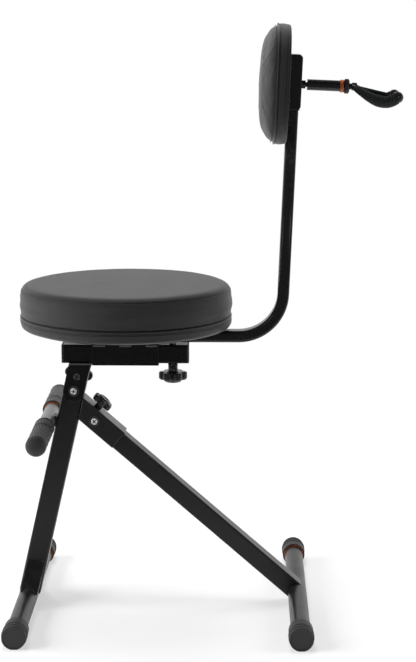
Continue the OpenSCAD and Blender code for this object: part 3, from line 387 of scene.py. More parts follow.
class Finish:
    """A material under way: one Principled shader and the groups that feed it."""

    def __init__(self, name, **constants):
        self.material = bpy.data.materials.new(name)
        self.material.use_nodes = True
        self.t = Tree(self.material.node_tree)
        self.shader = self.material.node_tree.nodes["Principled BSDF"]
        self.colour = None
        self.normal = None
        for key, value in constants.items():
            self.shader.inputs[key.replace("_", " ")].default_value = value

    def group(self, which, **inputs):
        node = self.t.add("ShaderNodeGroup", {"node_tree": GROUPS[which]})
        for key, value in inputs.items():
            self.t.put(node.inputs[key.replace("_", " ")], value)
        return node.outputs

    def soften(self, radius):
        """Rounds the edges in the light, without paling them."""
        self.normal = self.group("wear_and_highlight", Radius=radius, Patch_size=0.01, Amount=0.0)["Normal"]

    def bump(self, height, depth, strength):
        node = self.t.add("ShaderNodeBump", Height=height, Distance=depth, Strength=strength)
        if self.normal is not None:
            self.t.put(node.inputs["Normal"], self.normal)
        self.normal = node.outputs[0]

    def rough(self, value, tone, spread, rub=None):
        """Roughness around a value, varied by a tone and raised by rubs."""
        level = self.t.plus(value - spread / 2, self.t.times(tone, spread))
        if rub is not None:
            level = self.t.plus(level, rub)
        self.t.put(self.shader.inputs["Roughness"], level)

    def done(self):
        self.t.put(self.shader.inputs["Base Color"], self.colour)
        if self.normal is not None:
            self.t.put(self.shader.inputs["Normal"], self.normal)
        return self.material


def grey(v, warm=0.0):
    return (v * (1 + warm), v, v * (1 - warm), 1.0)


def powder_coat(name, dark, light, roughness, edge, edge_radius=0.0012, shine=0.4, edge_wear_and_highlight_tone=0.16):
    """Black powder coat: a fine skin, slow tone, paler edges that are partly wear and partly
    painted highlight, and thin dust.
    """
    f = Finish(name, Specular_IOR_Level=shine)
    tone, rub = f.group("tone", Patch_size=0.06, Speck_size=0.0012, Rub=0.12)
    mask, rounded = f.group("wear_and_highlight", Radius=edge_radius, Patch_size=0.012, Amount=edge)
    dust = f.group("dust", Amount=0.12)[0]
    f.normal = rounded
    coat = f.t.mix(tone, grey(dark), grey(light))
    # Paler edge colour: painted highlight along every edge, with patches of wear.
    coat = f.t.mix(mask, coat, grey(edge_wear_and_highlight_tone, 0.02))
    f.colour = f.t.mix(dust, coat, grey(0.22, 0.04))
    f.rough(roughness, tone, 0.16, f.t.plus(rub, f.t.times(dust, 0.5)))
    f.bump(f.group("peel", Size=0.0011)[0], 0.00004, 0.6)
    return f.done()


def plain_metal(name, tone_low, tone_high, roughness, spread, metallic=1.0):
    """Bare or plated metal with soft patches and fine rubs."""
    f = Finish(name, Metallic=metallic)
    tone, rub = f.group("tone", Patch_size=0.012, Speck_size=0.0006, Rub=0.14)
    f.soften(METAL_EDGE)
    f.colour = f.t.mix(tone, tone_low, tone_high)
    f.rough(roughness, tone, spread, rub)
    return f.done()


def bolt_metal(name, node, lean):
    """Bright bolt whose cross slot is painted dark as shade in its recess; lean turns the slot with
    its bolt.
    """
    f = Finish(name, Metallic=0.4)
    t = f.t
    tone, rub = f.group("tone", Patch_size=0.006, Speck_size=0.0006, Rub=0.1)
    f.soften(METAL_EDGE)
    local = t.vector("SUBTRACT", t.place(), i1=tuple(middle(node)))
    turned = t.add("ShaderNodeVectorRotate", {"rotation_type": "X_AXIS"},
                   Vector=local, Angle=math.radians(lean))
    sizes = t.vector("ABSOLUTE", turned.outputs[0])
    y, z = t.axis(sizes, 1), t.axis(sizes, 2)
    near = t.span(t.calc("MINIMUM", y, z), *SLOT_HALF, 1.0, 0.0)
    inside = t.span(t.larger(y, z), *SLOT_REACH, 1.0, 0.0)
    # The dark cross is painted shade in the slot's recess.
    f.colour = t.mix(t.times(near, inside), t.mix(tone, grey(0.8), grey(0.92)), grey(0.015))
    f.rough(0.26, tone, 0.1, rub)
    return f.done()


def moulded(name, low, high, roughness, spread, skin=0.00003, edge_radius=0.0008, edge=0.25,
            edge_wear_and_highlight_colour=0.12):
    """Moulded plastic or rubber with a fine skin."""
    f = Finish(name, Specular_IOR_Level=0.5)
    tone, rub = f.group("tone", Patch_size=0.02, Speck_size=0.0008, Rub=0.1)
    mask, rounded = f.group("wear_and_highlight", Radius=edge_radius, Patch_size=0.01, Amount=edge)
    f.normal = rounded
    # Edges take a paler colour: painted highlight along every edge, with patches of wear.
    f.colour = f.t.mix(mask, f.t.mix(tone, low, high), grey(edge_wear_and_highlight_colour))
    f.rough(roughness, tone, spread, rub)
    f.bump(f.group("peel", Size=0.0008)[0], skin, 0.7)
    return f.done()


def leatherette(name, low, high, pebble, depth, roughness, shine):
    """Grained leatherette: pebbles with duller creases, painted darker as shade."""
    f = Finish(name, Specular_IOR_Level=shine, Sheen_Weight=0.03, Sheen_Roughness=0.5)
    height, tone = f.group("grain", Pebble=pebble)
    slow, rub = f.group("tone", Patch_size=0.09, Speck_size=0.003, Rub=0.1)
    f.colour = f.t.mix(f.t.plus(f.t.times(tone, 0.55), f.t.times(slow, 0.45)), low, high)
    f.rough(roughness, tone, -0.14, rub)
    f.bump(height, depth, 0.8)
    return f.done()


def closed_cell_foam(name):
    """Dull black foam with fine pores."""
    f = Finish(name, Specular_IOR_Level=0.3)
    t = f.t
    pores = t.cells("F1", t.place(), 1100.0)
    tone, rub = f.group("tone", Patch_size=0.02, Speck_size=0.001, Rub=0.08)
    skin = t.mix(tone, (0.017, 0.02, 0.018, 1), (0.025, 0.029, 0.026, 1))
    f.colour = t.mix(t.span(pores, 0.05, 0.4), (0.014, 0.016, 0.015, 1), skin)
    f.rough(0.8, tone, 0.1, rub)
    f.bump(pores, 0.00005, 0.3)
    return f.done()


def plywood(name, early, late, pore):
    """Plywood: growth rings along Y and plies across Z."""
    f = Finish(name, Specular_IOR_Level=0.4)
    t = f.t
    place = t.place()
    stretched = t.vector("MULTIPLY", place, i1=(60.0, 5.0, 40.0))
    ring = t.cloud(stretched, 1.0, 5.0, Distortion=1.2)[0]
    fibre = t.vector("MULTIPLY", place, i1=(1500.0, 60.0, 900.0))
    pores = t.cloud(fibre, 1.0, 2.0)[0]
    f.colour = t.mix(t.span(pores, 0.4, 0.75), t.mix(t.span(ring, 0.35, 0.65), early, late), pore)
    f.rough(0.62, ring, 0.15)
    f.bump(pores, 0.0001, 0.5)
    return f.done()


STEEL = powder_coat("black_powder_coat", 0.003, 0.007, 0.33, edge=0.35)
STEEL_GLOSS = powder_coat("gloss_black_coat", 0.004, 0.009, 0.34, edge=0.35, edge_radius=0.0008,
                          shine=0.3)
# Sheet parts: wide rounded edges with a pale edge colour, a painted highlight along the bends with
# some wear.
STEEL_EDGED = powder_coat("sheet_black_coat", 0.005, 0.01, 0.3, edge=0.35, edge_radius=0.0028,
                          edge_wear_and_highlight_tone=0.3)
STEEL_DEEP = powder_coat("deep_black_coat", 0.002, 0.005, 0.22, edge=0.3, edge_radius=0.0015,
                         shine=0.3)
BAR_COAT = powder_coat("bar_black_coat", 0.003, 0.007, 0.24, edge=0.4, edge_radius=0.0008,
                       shine=0.42)
HANGER_GLOSS = powder_coat("hanger_gloss_coat", 0.004, 0.008, 0.17, edge=0.5,
                           edge_radius=0.0008, shine=0.6)
# The lock insert's edges are painted pale all round: a painted highlight ring round its hole.
FIXING_EDGE_HIGHLIGHT = powder_coat("fixing_painted_edge_highlight", 0.005, 0.01, 0.25, edge=1.6, edge_radius=0.0009,
                     shine=0.5, edge_wear_and_highlight_tone=0.4)
# Welds wear the same black coat; their paler grey is painted highlight on the rounded beads.
WELD_PAINTED_HIGHLIGHT = powder_coat("coated_weld_painted_highlight", 0.04, 0.09, 0.3, edge=0.6, edge_radius=0.0004)
DARK_FIXING = plain_metal("blackened_fixing", grey(0.02), grey(0.05), 0.34, 0.14, metallic=0.6)
TUBE_GREY = plain_metal("satin_grey_tube", grey(0.24), grey(0.34), 0.4, 0.14, metallic=0.7)
ZINC = plain_metal("bright_zinc", (0.66, 0.68, 0.7, 1), (0.8, 0.81, 0.82, 1), 0.24, 0.16)
SEAT_BOLT = bolt_metal("seat_bolt_head", "seat_pivot_bolt", LEG_TILT)
FOLD_BOLT = bolt_metal("fold_bolt_head", "fold_pivot_bolt", FOLD_LEAN)
KNOB = moulded("knob_plastic", grey(0.008), grey(0.015), 0.24, 0.12, skin=0.00002,
               edge_radius=0.0015)
PLASTIC = moulded("moulded_plastic", grey(0.014), grey(0.026), 0.42, 0.14)
NYLON = moulded("natural_nylon", (0.62, 0.61, 0.57, 1), (0.72, 0.71, 0.67, 1), 0.45, 0.1,
                edge_wear_and_highlight_colour=0.7)
RUBBER = moulded("black_rubber", grey(0.016), grey(0.03), 0.56, 0.16, **RUBBER_SKIN)
GRIP_RUBBER = moulded("grip_rubber", grey(0.032), grey(0.055), 0.48, 0.16, **RUBBER_SKIN)
# The orange is darkened toward brown: partly its own colour, partly painted shade.
ORANGE = moulded("orange_plastic", (0.42, 0.085, 0.014, 1), (0.52, 0.12, 0.022, 1), 0.36, 0.12,
                 edge_wear_and_highlight_colour=0.5)
VINYL = leatherette("seat_leatherette", grey(0.021), grey(0.033), pebble=0.0016, depth=0.00018,
                    roughness=0.4, shine=0.23)
VINYL_SMOOTH = leatherette("piping_leatherette", grey(0.009), grey(0.02), pebble=0.0011,
                           depth=0.00008, roughness=0.4, shine=0.45)
FOAM = closed_cell_foam("closed_cell_foam")
WOOD = plywood("birch_ply", (0.44, 0.27, 0.13, 1), (0.58, 0.4, 0.22, 1), (0.34, 0.2, 0.1, 1))
STAINED_WOOD = plywood("black_stained_ply", grey(0.009), grey(0.017), grey(0.005))
DUST_CLOTH = leatherette("dust_cloth", grey(0.008), grey(0.016), pebble=0.0008, depth=0.0001,
                         roughness=0.85, shine=0.3)

# The finish of every CAD node, also of those that a finer piece replaces
NODE_FINISHES = (
    (STEEL, "front_leg rear_leg rear_lock_nut clamp_nut hanger_nuts yoke_frame backrest_bar"),
    (STEEL_EDGED, "front_shoe fold_bracket backrest_bracket"),
    (STEEL_DEEP, "receiver saddle seat_neck"),
    (STEEL_GLOSS, "front_foot_bar rear_foot_bar"),
    (HANGER_GLOSS, "hanger_tube"),
    (FIXING_EDGE_HIGHLIGHT, "seat_lock_insert"),
    (SEAT_BOLT, "seat_pivot_bolt"),
    (FOLD_BOLT, "fold_pivot_bolt"),
    (TUBE_GREY, "footrest_tube"),
    (ZINC, "fold_pivot_nut seat_pivot_bush fold_bush rear_lock_screw footrest_screw "
           "slide_block seat_pivot_nut seat_screws bar_clamp_screw"),
    (DARK_FIXING, "seat_lock_screw backrest_screws hanger_stud hanger_rod"),
    (KNOB, "rear_lock_knob seat_lock_knob bar_clamp_knob hanger_collar yoke_tips"),
    (PLASTIC, "fold_pivot_washers seat_pivot_washers footrest_pad receiver_plugs bar_plug"),
    (NYLON, "bar_glides"),
    (RUBBER, "front_foot_caps rear_foot_caps footrest_grips footrest_end_caps"),
    (ORANGE, "front_foot_rings rear_foot_rings footrest_rings hanger_ring"),
    (VINYL, "seat_cushion backrest_pad"),
    (FOAM, "yoke_foam"),
    (WOOD, "seat_board"),
    (STAINED_WOOD, "backrest_board"),
)
for finish, names in NODE_FINISHES:
    for name in names.split():
        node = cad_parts[name]
        node.data.materials.clear()
        node.data.materials.append(finish)


# Padded pieces

CLOTH_FRAMES = 20
PRESSURE = 3.0
COVER_GAP = 0.3          # between a cover and what it wraps


def puff(piece, sewn, most):
    """Inflates a stitched cover: sewn points stay, others may move up to most millimetres."""
    group = piece.vertex_groups.new(name="sewn")
    for index, hold in enumerate(sewn):
        if hold > 0:
            group.add([index], hold, "REPLACE")
    start = [v.co.copy() for v in piece.data.vertices]
    cloth = piece.modifiers.new("pressure", "CLOTH")
    s = cloth.settings
    s.quality = 6
    s.mass = 0.25
    s.tension_stiffness = s.compression_stiffness = 12.0
    s.shear_stiffness = 6.0
    s.bending_stiffness = 0.6
    s.use_pressure = True
    s.uniform_pressure_force = PRESSURE
    s.vertex_group_mass = "sewn"
    s.effector_weights.gravity = 0.0
    scene = bpy.context.scene
    for frame_number in range(1, CLOTH_FRAMES + 1):
        scene.frame_set(frame_number)
    graph = bpy.context.evaluated_depsgraph_get()
    moved = [v.co.copy() for v in piece.evaluated_get(graph).data.vertices]
    piece.modifiers.clear()
    scene.frame_set(1)
    for vertex, a, b in zip(piece.data.vertices, start, moved):
        way = b - a
        if way.length > most * MM:
            way *= most * MM / way.length
        vertex.co = a + way
    piece.vertex_groups.clear()


def ripple(angle, height, seed):
    """Soft unevenness of stuffed cover round a piece, from -1 to 1."""
    p = Vector((math.cos(angle) * 2.4, math.sin(angle) * 2.4, height * 0.02 + seed))
    return noise.noise(p) + 0.5 * noise.noise(p * 3.1)


def drape(angle, height):
    """Long shallow folds that run round a boxing, from -1 to 1."""
    p = Vector((math.cos(angle) * 1.3, math.sin(angle) * 1.3, height * 0.085 + 5.0))
    return 1.6 * noise.noise(p)


SEAT_PLACE = Matrix.Translation((0, SEAT_Y, SEAT_BOARD_Z * MM))
SEAT_SIDES = 240
SEAT_TACKS = 60          # gathers along the upper seam
SEAT_R = SEAT_D / 2 + 0.7
GATHER_DEPTH = 0.35
LEVEL_RINGS = 31         # rings from the board up that keep an even height


def seat_outline():
    """The seat's cover from the board's recess to the top: (radius, height, sewn, gather)."""
    r, seam, pipe = SEAT_R, SEAT_SEAM_H, SEAT_PIPE_H
    recess, board = SEAT_BOARD_D / 2 + COVER_GAP, SEAT_BOARD_T + COVER_GAP
    rows = [(0.0, board, 1, 0), (recess, board, 1, 0), (recess, COVER_GAP, 1, 0),
            (recess + 3.0, 0.4, 1, 0), (r - 10.0, 1.6, 1, 0), (r - 6.4, 2.9, 1, 0),
            (r - 4.0, 4.6, 1, 0), (r - 2.6, 6.8, 1, 0)]
    for i in range(1, 7):
        share = i / 7
        swell = 0.8 * math.sin(math.pi * share)
        rows.append((r - 2.2 + 0.7 * share + swell, 7.4 + (pipe - 9.2) * share, 0, 0.3))
        if i == 4:
            rows += [(r - 1.3, 15.9, 1, 0), (r - 2.3, 16.4, 1, 0), (r - 1.2, 16.9, 1, 0)]
    rows += [(r - 2.0, pipe - 1.5, 1, 0), (r - 4.6, pipe + 0.2, 1, 0), (r - 3.4, pipe + 1.4, 1, 0),
             (r - 1.9, pipe + 1.9, 1, 0)]
    for i in range(1, 13):
        share = i / 13
        swell = 2.4 * math.sin(math.pi * share) ** 0.6
        height = pipe + 1.9 + (seam - pipe - 3.3) * share
        rows.append((r - 2.4 + swell - 1.4 * share, height, 0, max(0, share - 0.6)))
    rows += [(r - 4.2, seam - 1.0, 1, 0), (r - 4.7, seam - 0.5, 1, 0), (r - 6.9, seam - 0.2, 1, 0),
             (r - 5.2, seam + 0.6, 1, 0)]
    for i, (inset, up) in enumerate(SEAT_ROLL):
        rows.append((r - inset, seam + up, 1 if i == 0 else 0, 0.8 * max(0.0, 1 - i / 4)))
    inset, up = SEAT_ROLL[-1]
    for i in range(1, 15):
        share = (i / 15) ** 1.2
        height = seam + up + (SEAT_CROWN - up) * math.sin(math.pi / 2 * share)
        rows.append(((r - inset) * (1 - share), height, 0, 0))
    return rows


def make_seat():
    """One sewn cover from the board's recess to the middle of the top."""
    rows = seat_outline()
    verts, sewn = [], []
    for index, (r, h, hold, gather) in enumerate(rows):
        loose = 0 if hold else 1
        for k in range(SEAT_SIDES):
            a = math.tau * k / SEAT_SIDES
            out = loose * (0.35 * ripple(a, h, 3.0) + 0.9 * drape(a, h))
            out -= gather * GATHER_DEPTH * (1 + math.cos(SEAT_TACKS * a)) / 2
            up = 0.0
            if index >= LEVEL_RINGS:
                up = loose * (r / SEAT_D) * 0.5 * ripple(a, h + r * 0.6, 9.0)
            verts.append(around(SEAT_PLACE, max(r + out, 0.0), a, h + up))
            sewn.append(hold)
    last = (len(rows) - 1) * SEAT_SIDES
    verts.append(at(SEAT_PLACE, 0, 0, SEAT_SEAM_H + SEAT_CROWN))
    sewn.append(0)
    faces = ring_faces(len(rows), SEAT_SIDES, caps=False)
    faces += [(last + k, last + (k + 1) % SEAT_SIDES, len(verts) - 1) for k in range(SEAT_SIDES)]
    cover = add_piece("seat_cushion_cover", verts, faces, "seat", VINYL, merged=False)
    puff(cover, sewn, most=0.9)
    close_mesh(cover.data)
    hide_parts("seat_cushion")


def make_seat_piping():
    """Cord piping between the boxing and the lower band."""
    r = SEAT_D / 2 - 1.6
    verts, faces = lathe(arc(r, SEAT_PIPE_H - 1.6, 1.7, 0, 330, 11), SEAT_PLACE, SEAT_SIDES)
    add_piece("seat_piping", verts, faces, "seat", VINYL_SMOOTH)


def make_seat_dust_cloth():
    """Thin black cloth under the board, with its turned hem."""
    r = SEAT_BOARD_D / 2 + 2.0
    outline = [(0.0, -0.25), (r - 9, -0.25), (r - 8, -0.7), (r - 1, -0.7), (r, -0.3),
               (r - 1, -0.05), (0.0, -0.05)]
    verts, faces = lathe(outline, SEAT_PLACE, 96, closed=False)
    add_piece("seat_dust_cloth", verts, faces, "seat", DUST_CLOTH)


make_seat()
make_seat_piping()


PAD_SIDES = 200
PAD_PLACE = BACK_PLACE @ shift(0, -BAR_D / 2, PAD_UP)


def pad_rows():
    """Rings of the backrest pad from back to front: (inset, distance forward, sewn)."""
    b, c = PAD_BAND, PAD_CROWN
    recess = PAD_INSET - COVER_GAP
    rows = [(recess, PAD_BOARD_T + COVER_GAP, 1), (recess, 0.1, 1), (9.0, 0.0, 1), (5.5, 0.4, 0),
            (3.0, 1.4, 0), (1.4, 3.0, 0), (1.0, 4.6, 1), (1.9, 5.4, 1), (1.0, 6.2, 1)]
    for i in range(1, 7):
        share = i / 7
        rows.append((0.9 - 0.5 * math.sin(math.pi * share), 6.2 + (b - 9.2) * share, 0))
    rows += [(0.9, b - 2.8, 1), (1.9, b - 2.1, 1), (0.9, b - 1.4, 1), (0.8, b - 0.2, 0),
             (1.6, b + 0.5, 1), (4.4, b + 0.4, 1), (4.6, b + 1.2, 1)]
    for i in range(1, 21):
        a = i / 20 * math.pi / 2
        rows.append((4.7 + 60 * (1 - math.cos(a)), b + 1.4 + (c - 3.0) * math.sin(a) ** 0.8, 0))
    rows += [(74.0, b + c - 1.15, 0), (82.0, b + c - 0.75, 0), (90.0, b + c - 0.5, 0)]
    return rows


def make_backrest_pad():
    """One sewn cover from the middle of the back to the middle of the front."""
    rows = pad_rows()
    verts, sewn = [], []
    for inset, forward, hold in rows:
        for x, z in super_oval(PAD_W - 2 * inset, PAD_H - 2 * inset, PAD_SIDES):
            a, loose = math.atan2(z, x), 0.0 if hold else 0.5
            soft = loose * ripple(a, forward + inset, 21.0) * min(1.0, inset / 10 + 0.3)
            verts.append(at(PAD_PLACE, x, -forward - soft, z))
            sewn.append(hold)
    verts.append(at(PAD_PLACE, 0, -PAD_BOARD_T - COVER_GAP, 0))
    verts.append(at(PAD_PLACE, 0, -PAD_BAND - PAD_CROWN + COVER_GAP, 0))
    sewn += [1, 0]
    back_mid, front_mid = len(verts) - 2, len(verts) - 1
    faces = ring_faces(len(rows), PAD_SIDES, caps=False)
    last = (len(rows) - 1) * PAD_SIDES
    for k in range(PAD_SIDES):
        n = (k + 1) % PAD_SIDES
        faces.append((k, n, back_mid))
        faces.append((last + k, last + n, front_mid))
    cover = add_piece("backrest_pad_cover", verts, faces, "backrest", VINYL, merged=False)
    puff(cover, sewn, most=1.4)
    close_mesh(cover.data, merged=False)
    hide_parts("backrest_pad")


def pad_piping(name, inset, forward, r):
    """Piping that follows the pad's outline."""
    verts, sides = [], 10
    loop = super_oval(PAD_W - 2 * inset, PAD_H - 2 * inset, PAD_SIDES)
    front = Vector((0, -1, 0))
    for k, (x, z) in enumerate(loop):
        before, after = loop[k - 1], loop[(k + 1) % PAD_SIDES]
        along = Vector((after[0] - before[0], 0, after[1] - before[1])).normalized()
        out = along.cross(front)
        for j in range(sides):
            a = math.tau * j / sides
            p = Vector((x, -forward, z)) + out * (r * math.cos(a)) + front * (r * math.sin(a))
            verts.append(PAD_PLACE @ (p * MM))
    faces = ring_faces(PAD_SIDES, sides, closed=True)
    add_piece(name, verts, faces, "backrest", VINYL_SMOOTH)


make_backrest_pad()
pad_piping("backrest_front_piping", 0.8, PAD_BAND - 0.3, 1.1)
pad_piping("backrest_rear_piping", 3.0, 1.3, 1.2)


# Turned, moulded and bent pieces

GRIP_GAP = 130.0
REST_W = 420.0
GRIP_END = 15.0
REST_RING_L = 4.0
REST_RING_T = 2.4
BOLT_R = 4.0
TUBE_BORE = REST_TUBE_D / 2 - 1.85


def mirrored(verts, faces):
    """Adds the mirror image across the middle plane."""
    count = len(verts)
    other = [Vector((-v[0], v[1], v[2])) for v in verts]
    turned = [tuple(count + i for i in reversed(face)) for face in faces]
    return list(verts) + other, list(faces) + turned


def facet_wave(turns):
    """Triangle wave from 0 to 1."""
    return abs((turns % 1.0) * 2 - 1)


def make_grips():
    """Knurled rubber grips with long diamonds, a groove ring and plain rims."""
    sides, diamonds, pitch, depth = 264, 22, 30.0, 1.8
    inner, outer, r = GRIP_GAP / 2, REST_W / 2 - GRIP_END, GRIP_D / 2
    groove = inner + (outer - inner) * 0.3
    bore = REST_TUBE_D / 2 + 0.05
    seat, seat_end = bore + REST_RING_T - 0.1, inner + REST_RING_L
    stations = [(outer, bore, 0), (seat_end, bore, 0), (seat_end, seat, 0), (inner, seat, 0),
                (inner, r - 0.9, 0), (inner + 0.3, r - 0.3, 0), (inner + 1.0, r, 0),
                (inner + 3.2, r, 0), (inner + 3.8, r - 0.6, 0)]
    x = inner + 4.4
    while x < outer - 3.0:
        if groove - 0.8 < x < groove + 3.8:
            stations += [(groove - 0.7, r - 0.2, 0), (groove, r - 1.0, 0),
                         (groove + 3.0, r - 1.0, 0), (groove + 3.7, r - 0.2, 0)]
            x = groove + 3.9
        stations.append((x, r, 1))
        x += 2.3
    stations += [(outer - 2.6, r - 0.5, 0), (outer - 2.2, r, 0), (outer, r, 0)]
    verts = []
    for x, radius, knurl in stations:
        for k in range(sides):
            a = math.tau * k / sides
            lift = 0.0
            if knurl:
                u = diamonds * k / sides
                near = min(facet_wave(u + x / pitch), facet_wave(u - x / pitch))
                lift = depth * (min(1.0, near * 1.2) - 1.0)
            verts.append(out_from(REST_PLACE, x, radius + lift, a))
    verts, faces = mirrored(verts, ring_faces(len(stations), sides, closed=True))
    add_piece("knurled_grips", verts, faces, "footrest", GRIP_RUBBER, ["footrest_grips"])


def make_grip_caps():
    """Domed end caps with a serrated rim."""
    sides, ribs, r, base = 240, 30, GRIP_D / 2, REST_W / 2 - GRIP_END
    rim, plug, cut = 4.6, -18.0, 1.1
    rows = [(0.0, plug, 0), (TUBE_BORE - 0.75, plug, 0), (TUBE_BORE, plug + 1.0, 0),
            (TUBE_BORE, 0.0, 0), (r - 0.4, 0.0, 0), (r, 0.3, 1), (r, 3.6, 1), (r - 0.5, 4.2, 0.4)]
    rows += [(x, h, 0) for x, h in arc(0.0, rim, r - 0.7, 2, 88, 14)]
    dome = (GRIP_END - rim) / (r - 0.7)
    verts = []
    for radius, height, rib in rows:
        lift = height if height < rim else rim + (height - rim) * dome
        for k in range(sides):
            cut_in = cut * rib * (1 - min(1.0, 2.2 * facet_wave(ribs * k / sides)))
            verts.append(out_from(REST_PLACE, base + lift, radius - cut_in, math.tau * k / sides))
    verts, faces = mirrored(verts, ring_faces(len(rows), sides))
    add_piece("grip_end_caps", verts, faces, "footrest", RUBBER, ["footrest_end_caps"])


def lobed_radius(angle, d, lobes):
    """Outline of a star grip: round lobes blended into a round core."""
    lobe = d * 0.17
    centre = d / 2 - lobe
    off = (angle + math.pi / lobes) % (math.tau / lobes) - math.pi / lobes
    inside = lobe ** 2 - (centre * math.sin(off)) ** 2
    tip = centre * math.cos(off) + math.sqrt(inside) if inside > 0 else 0.0
    return math.log(math.exp(tip * 0.9) + math.exp(centre * 0.9)) / 0.9 - 0.05


def star_knob(name, node, body, place, d, h, lobes, hub_d, hub_h):
    """Moulded star grip on a hub, its face dished; z runs from hub to face."""
    sides = lobes * 32
    edge, under = h * 0.3, h * 0.2
    quarter = [math.radians(15 * i) for i in range(7)]
    hub = hub_d / 2
    rows = [(BOLT_R, None, hub_h + h / 2), (BOLT_R, None, 0.4), (BOLT_R + 0.4, None, 0.0),
            (hub - 0.6, None, 0.0), (hub, None, 0.6)]
    if hub_h > 4:
        rows += [(hub - 0.2, None, hub_h * 0.5), (hub, None, hub_h - 1.2), (hub + 1.2, None, hub_h)]
    else:
        rows.append((hub + 0.4, None, hub_h))
    rows += [(None, under - under * math.sin(a), hub_h + under - under * math.cos(a))
             for a in quarter]
    rows += [(None, edge - edge * math.cos(a), hub_h + h - edge + edge * math.sin(a))
             for a in quarter]
    top, dish = hub_h + h, h * 0.25
    rows.append((d * 0.3, None, top + 0.1))
    for wide, deep in ((0.29, 0.7), (0.27, 0.95), (0.24, 1.0), (0.2, 0.7), (0.1, 0.4)):
        rows.append((d * wide, None, top + dish * deep))
    verts = []
    for radius, inset, height in rows:
        for k in range(sides):
            a, r = math.tau * k / sides, radius
            if r is None:
                r = max(lobed_radius(a, d, lobes) - inset, hub - 0.5)
            verts.append(around(place, r, a, height))
    add_piece(name, verts, ring_faces(len(rows), sides), body, KNOB, [node])


def make_bar():
    """The backrest's bent tube as one smooth sweep, skin and bore."""
    steps, bend = 44, math.radians(90 - RECLINE)
    stations = [(0.0, -BAR_FRONT - BAR_BACK)]
    stations += [(bend * i / steps, 0.0) for i in range(steps + 1)]
    stations.append((bend, BAR_TOP))

    def ring(a, run, inset):
        points = []
        w, d = BAR_W - 2 * inset, BAR_D - 2 * inset
        for p, q in rounded_section(w, d, BAR_CORNER - inset, 7):
            y = BAR_BEND * math.sin(a) + run * math.cos(a) - q * math.sin(a)
            z = BAR_BEND * (1 - math.cos(a)) + run * math.sin(a) + q * math.cos(a)
            points.append(Vector((p * MM, SEAT_Y + (BAR_BACK + y) * MM, BAR_Z + z * MM)))
        return points

    rings = [ring(a, run, 0.0) for a, run in stations]
    rings += [ring(a, run, BAR_WALL) for a, run in reversed(stations)]
    verts = [v for points in rings for v in points]
    faces = ring_faces(len(rings), len(rings[0]), closed=True)
    add_piece("bent_bar", verts, faces, "backrest", BAR_COAT, ["backrest_bar"])


YOKE_ROOT = 96.55        # how far the yoke starts behind the bar
YOKE_BEND = 0.45         # share of an arm that is its quarter bend
YOKE_SPREAD = 35.0
YOKE_BEND_Y = 30.0
YOKE_RUN = 46.0
YOKE_SAG = 21.0
YOKE_LOW_Y = 52.48       # where the sag is deepest
YOKE_RISE = 45.1         # length over which it ends
YOKE_PLACE = BACK_PLACE @ shift(0, YOKE_ROOT, PAD_UP)


def yoke_point(share):
    """Middle line of one yoke arm, in millimetres."""
    a = math.radians(min(90.0, 90.0 * share / YOKE_BEND))
    straight_share = max(0.0, (share - YOKE_BEND) / (1 - YOKE_BEND))
    y = YOKE_BEND_Y * (1 - math.cos(a)) + straight_share * YOKE_RUN
    if y < YOKE_LOW_Y:
        fall = math.sin(math.pi / 2 * max(0.0, y) / YOKE_LOW_Y) ** 1.2
    else:
        fall = math.cos(math.pi / 2 * min(1.0, (y - YOKE_LOW_Y) / YOKE_RISE)) ** 2
    return Vector((YOKE_SPREAD * math.sin(a), y, -YOKE_SAG * fall))


def make_foam():
    """Closed-cell foam sleeves on both arms, slightly uneven, with rounded ends."""
    first, last, sides, steps, bore = 0.17, 0.93, 40, 60, 4.05
    rings = [(first, bore), (first, 7.5), (first + 0.004, 9.2), (first + 0.012, 9.9)]
    rings += [(first + 0.02 + (last - first - 0.04) * i / steps, 10.0) for i in range(steps + 1)]
    rings += [(last - 0.012, 9.9), (last - 0.004, 9.2), (last, 7.5), (last, bore)]
    verts = []
    for share, r in rings:
        p = yoke_point(share)
        along = (yoke_point(min(1, share + 0.01)) - yoke_point(max(0, share - 0.01))).normalized()
        side = along.cross(Vector((0, 0, 1))).normalized()
        up = side.cross(along)
        slim = 0.55 + 0.45 * min(1.0, (share - first) / 0.4)
        for k in range(sides):
            a = math.tau * k / sides
            wide = max(bore, r * slim)
            q = p + side * math.cos(a) * wide + up * math.sin(a) * wide
            if r > 9:
                q += (q - p).normalized() * (0.2 * noise.noise(q * 0.12) - 0.1)
            verts.append(YOKE_PLACE @ (q * MM))
    verts, faces = mirrored(verts, ring_faces(len(rings), sides, closed=True))
    add_piece("yoke_foam_sleeves", verts, faces, "yoke", FOAM, ["yoke_foam"])


def make_collar():
    """Knurled collar with straight ribs and chamfered ends."""
    place = BACK_PLACE @ shift(0, 0, PAD_UP) @ turn(-90, "X")
    start, ribs, sides, r, bore, cut = 82.05, 28, 224, 12.0, 5.06, 1.1
    rows = [(bore, 0.0, 0), (r - 2.6, 0.0, 0), (r - 1.2, 0.9, 0), (r, 1.6, 1), (r, 7.6, 1),
            (r - 1.2, 8.3, 0), (r - 2.6, 9.2, 0), (bore, 9.2, 0)]
    verts = []
    for radius, height, rib in rows:
        for k in range(sides):
            a = math.tau * k / sides
            dent = cut * rib * (0.5 - 0.5 * math.cos(ribs * a)) ** 2
            verts.append(around(place, radius - dent, a, start + height))
    faces = ring_faces(len(rows), sides, closed=True)
    add_piece("knurled_collar", verts, faces, "collar", KNOB, ["hanger_collar"])


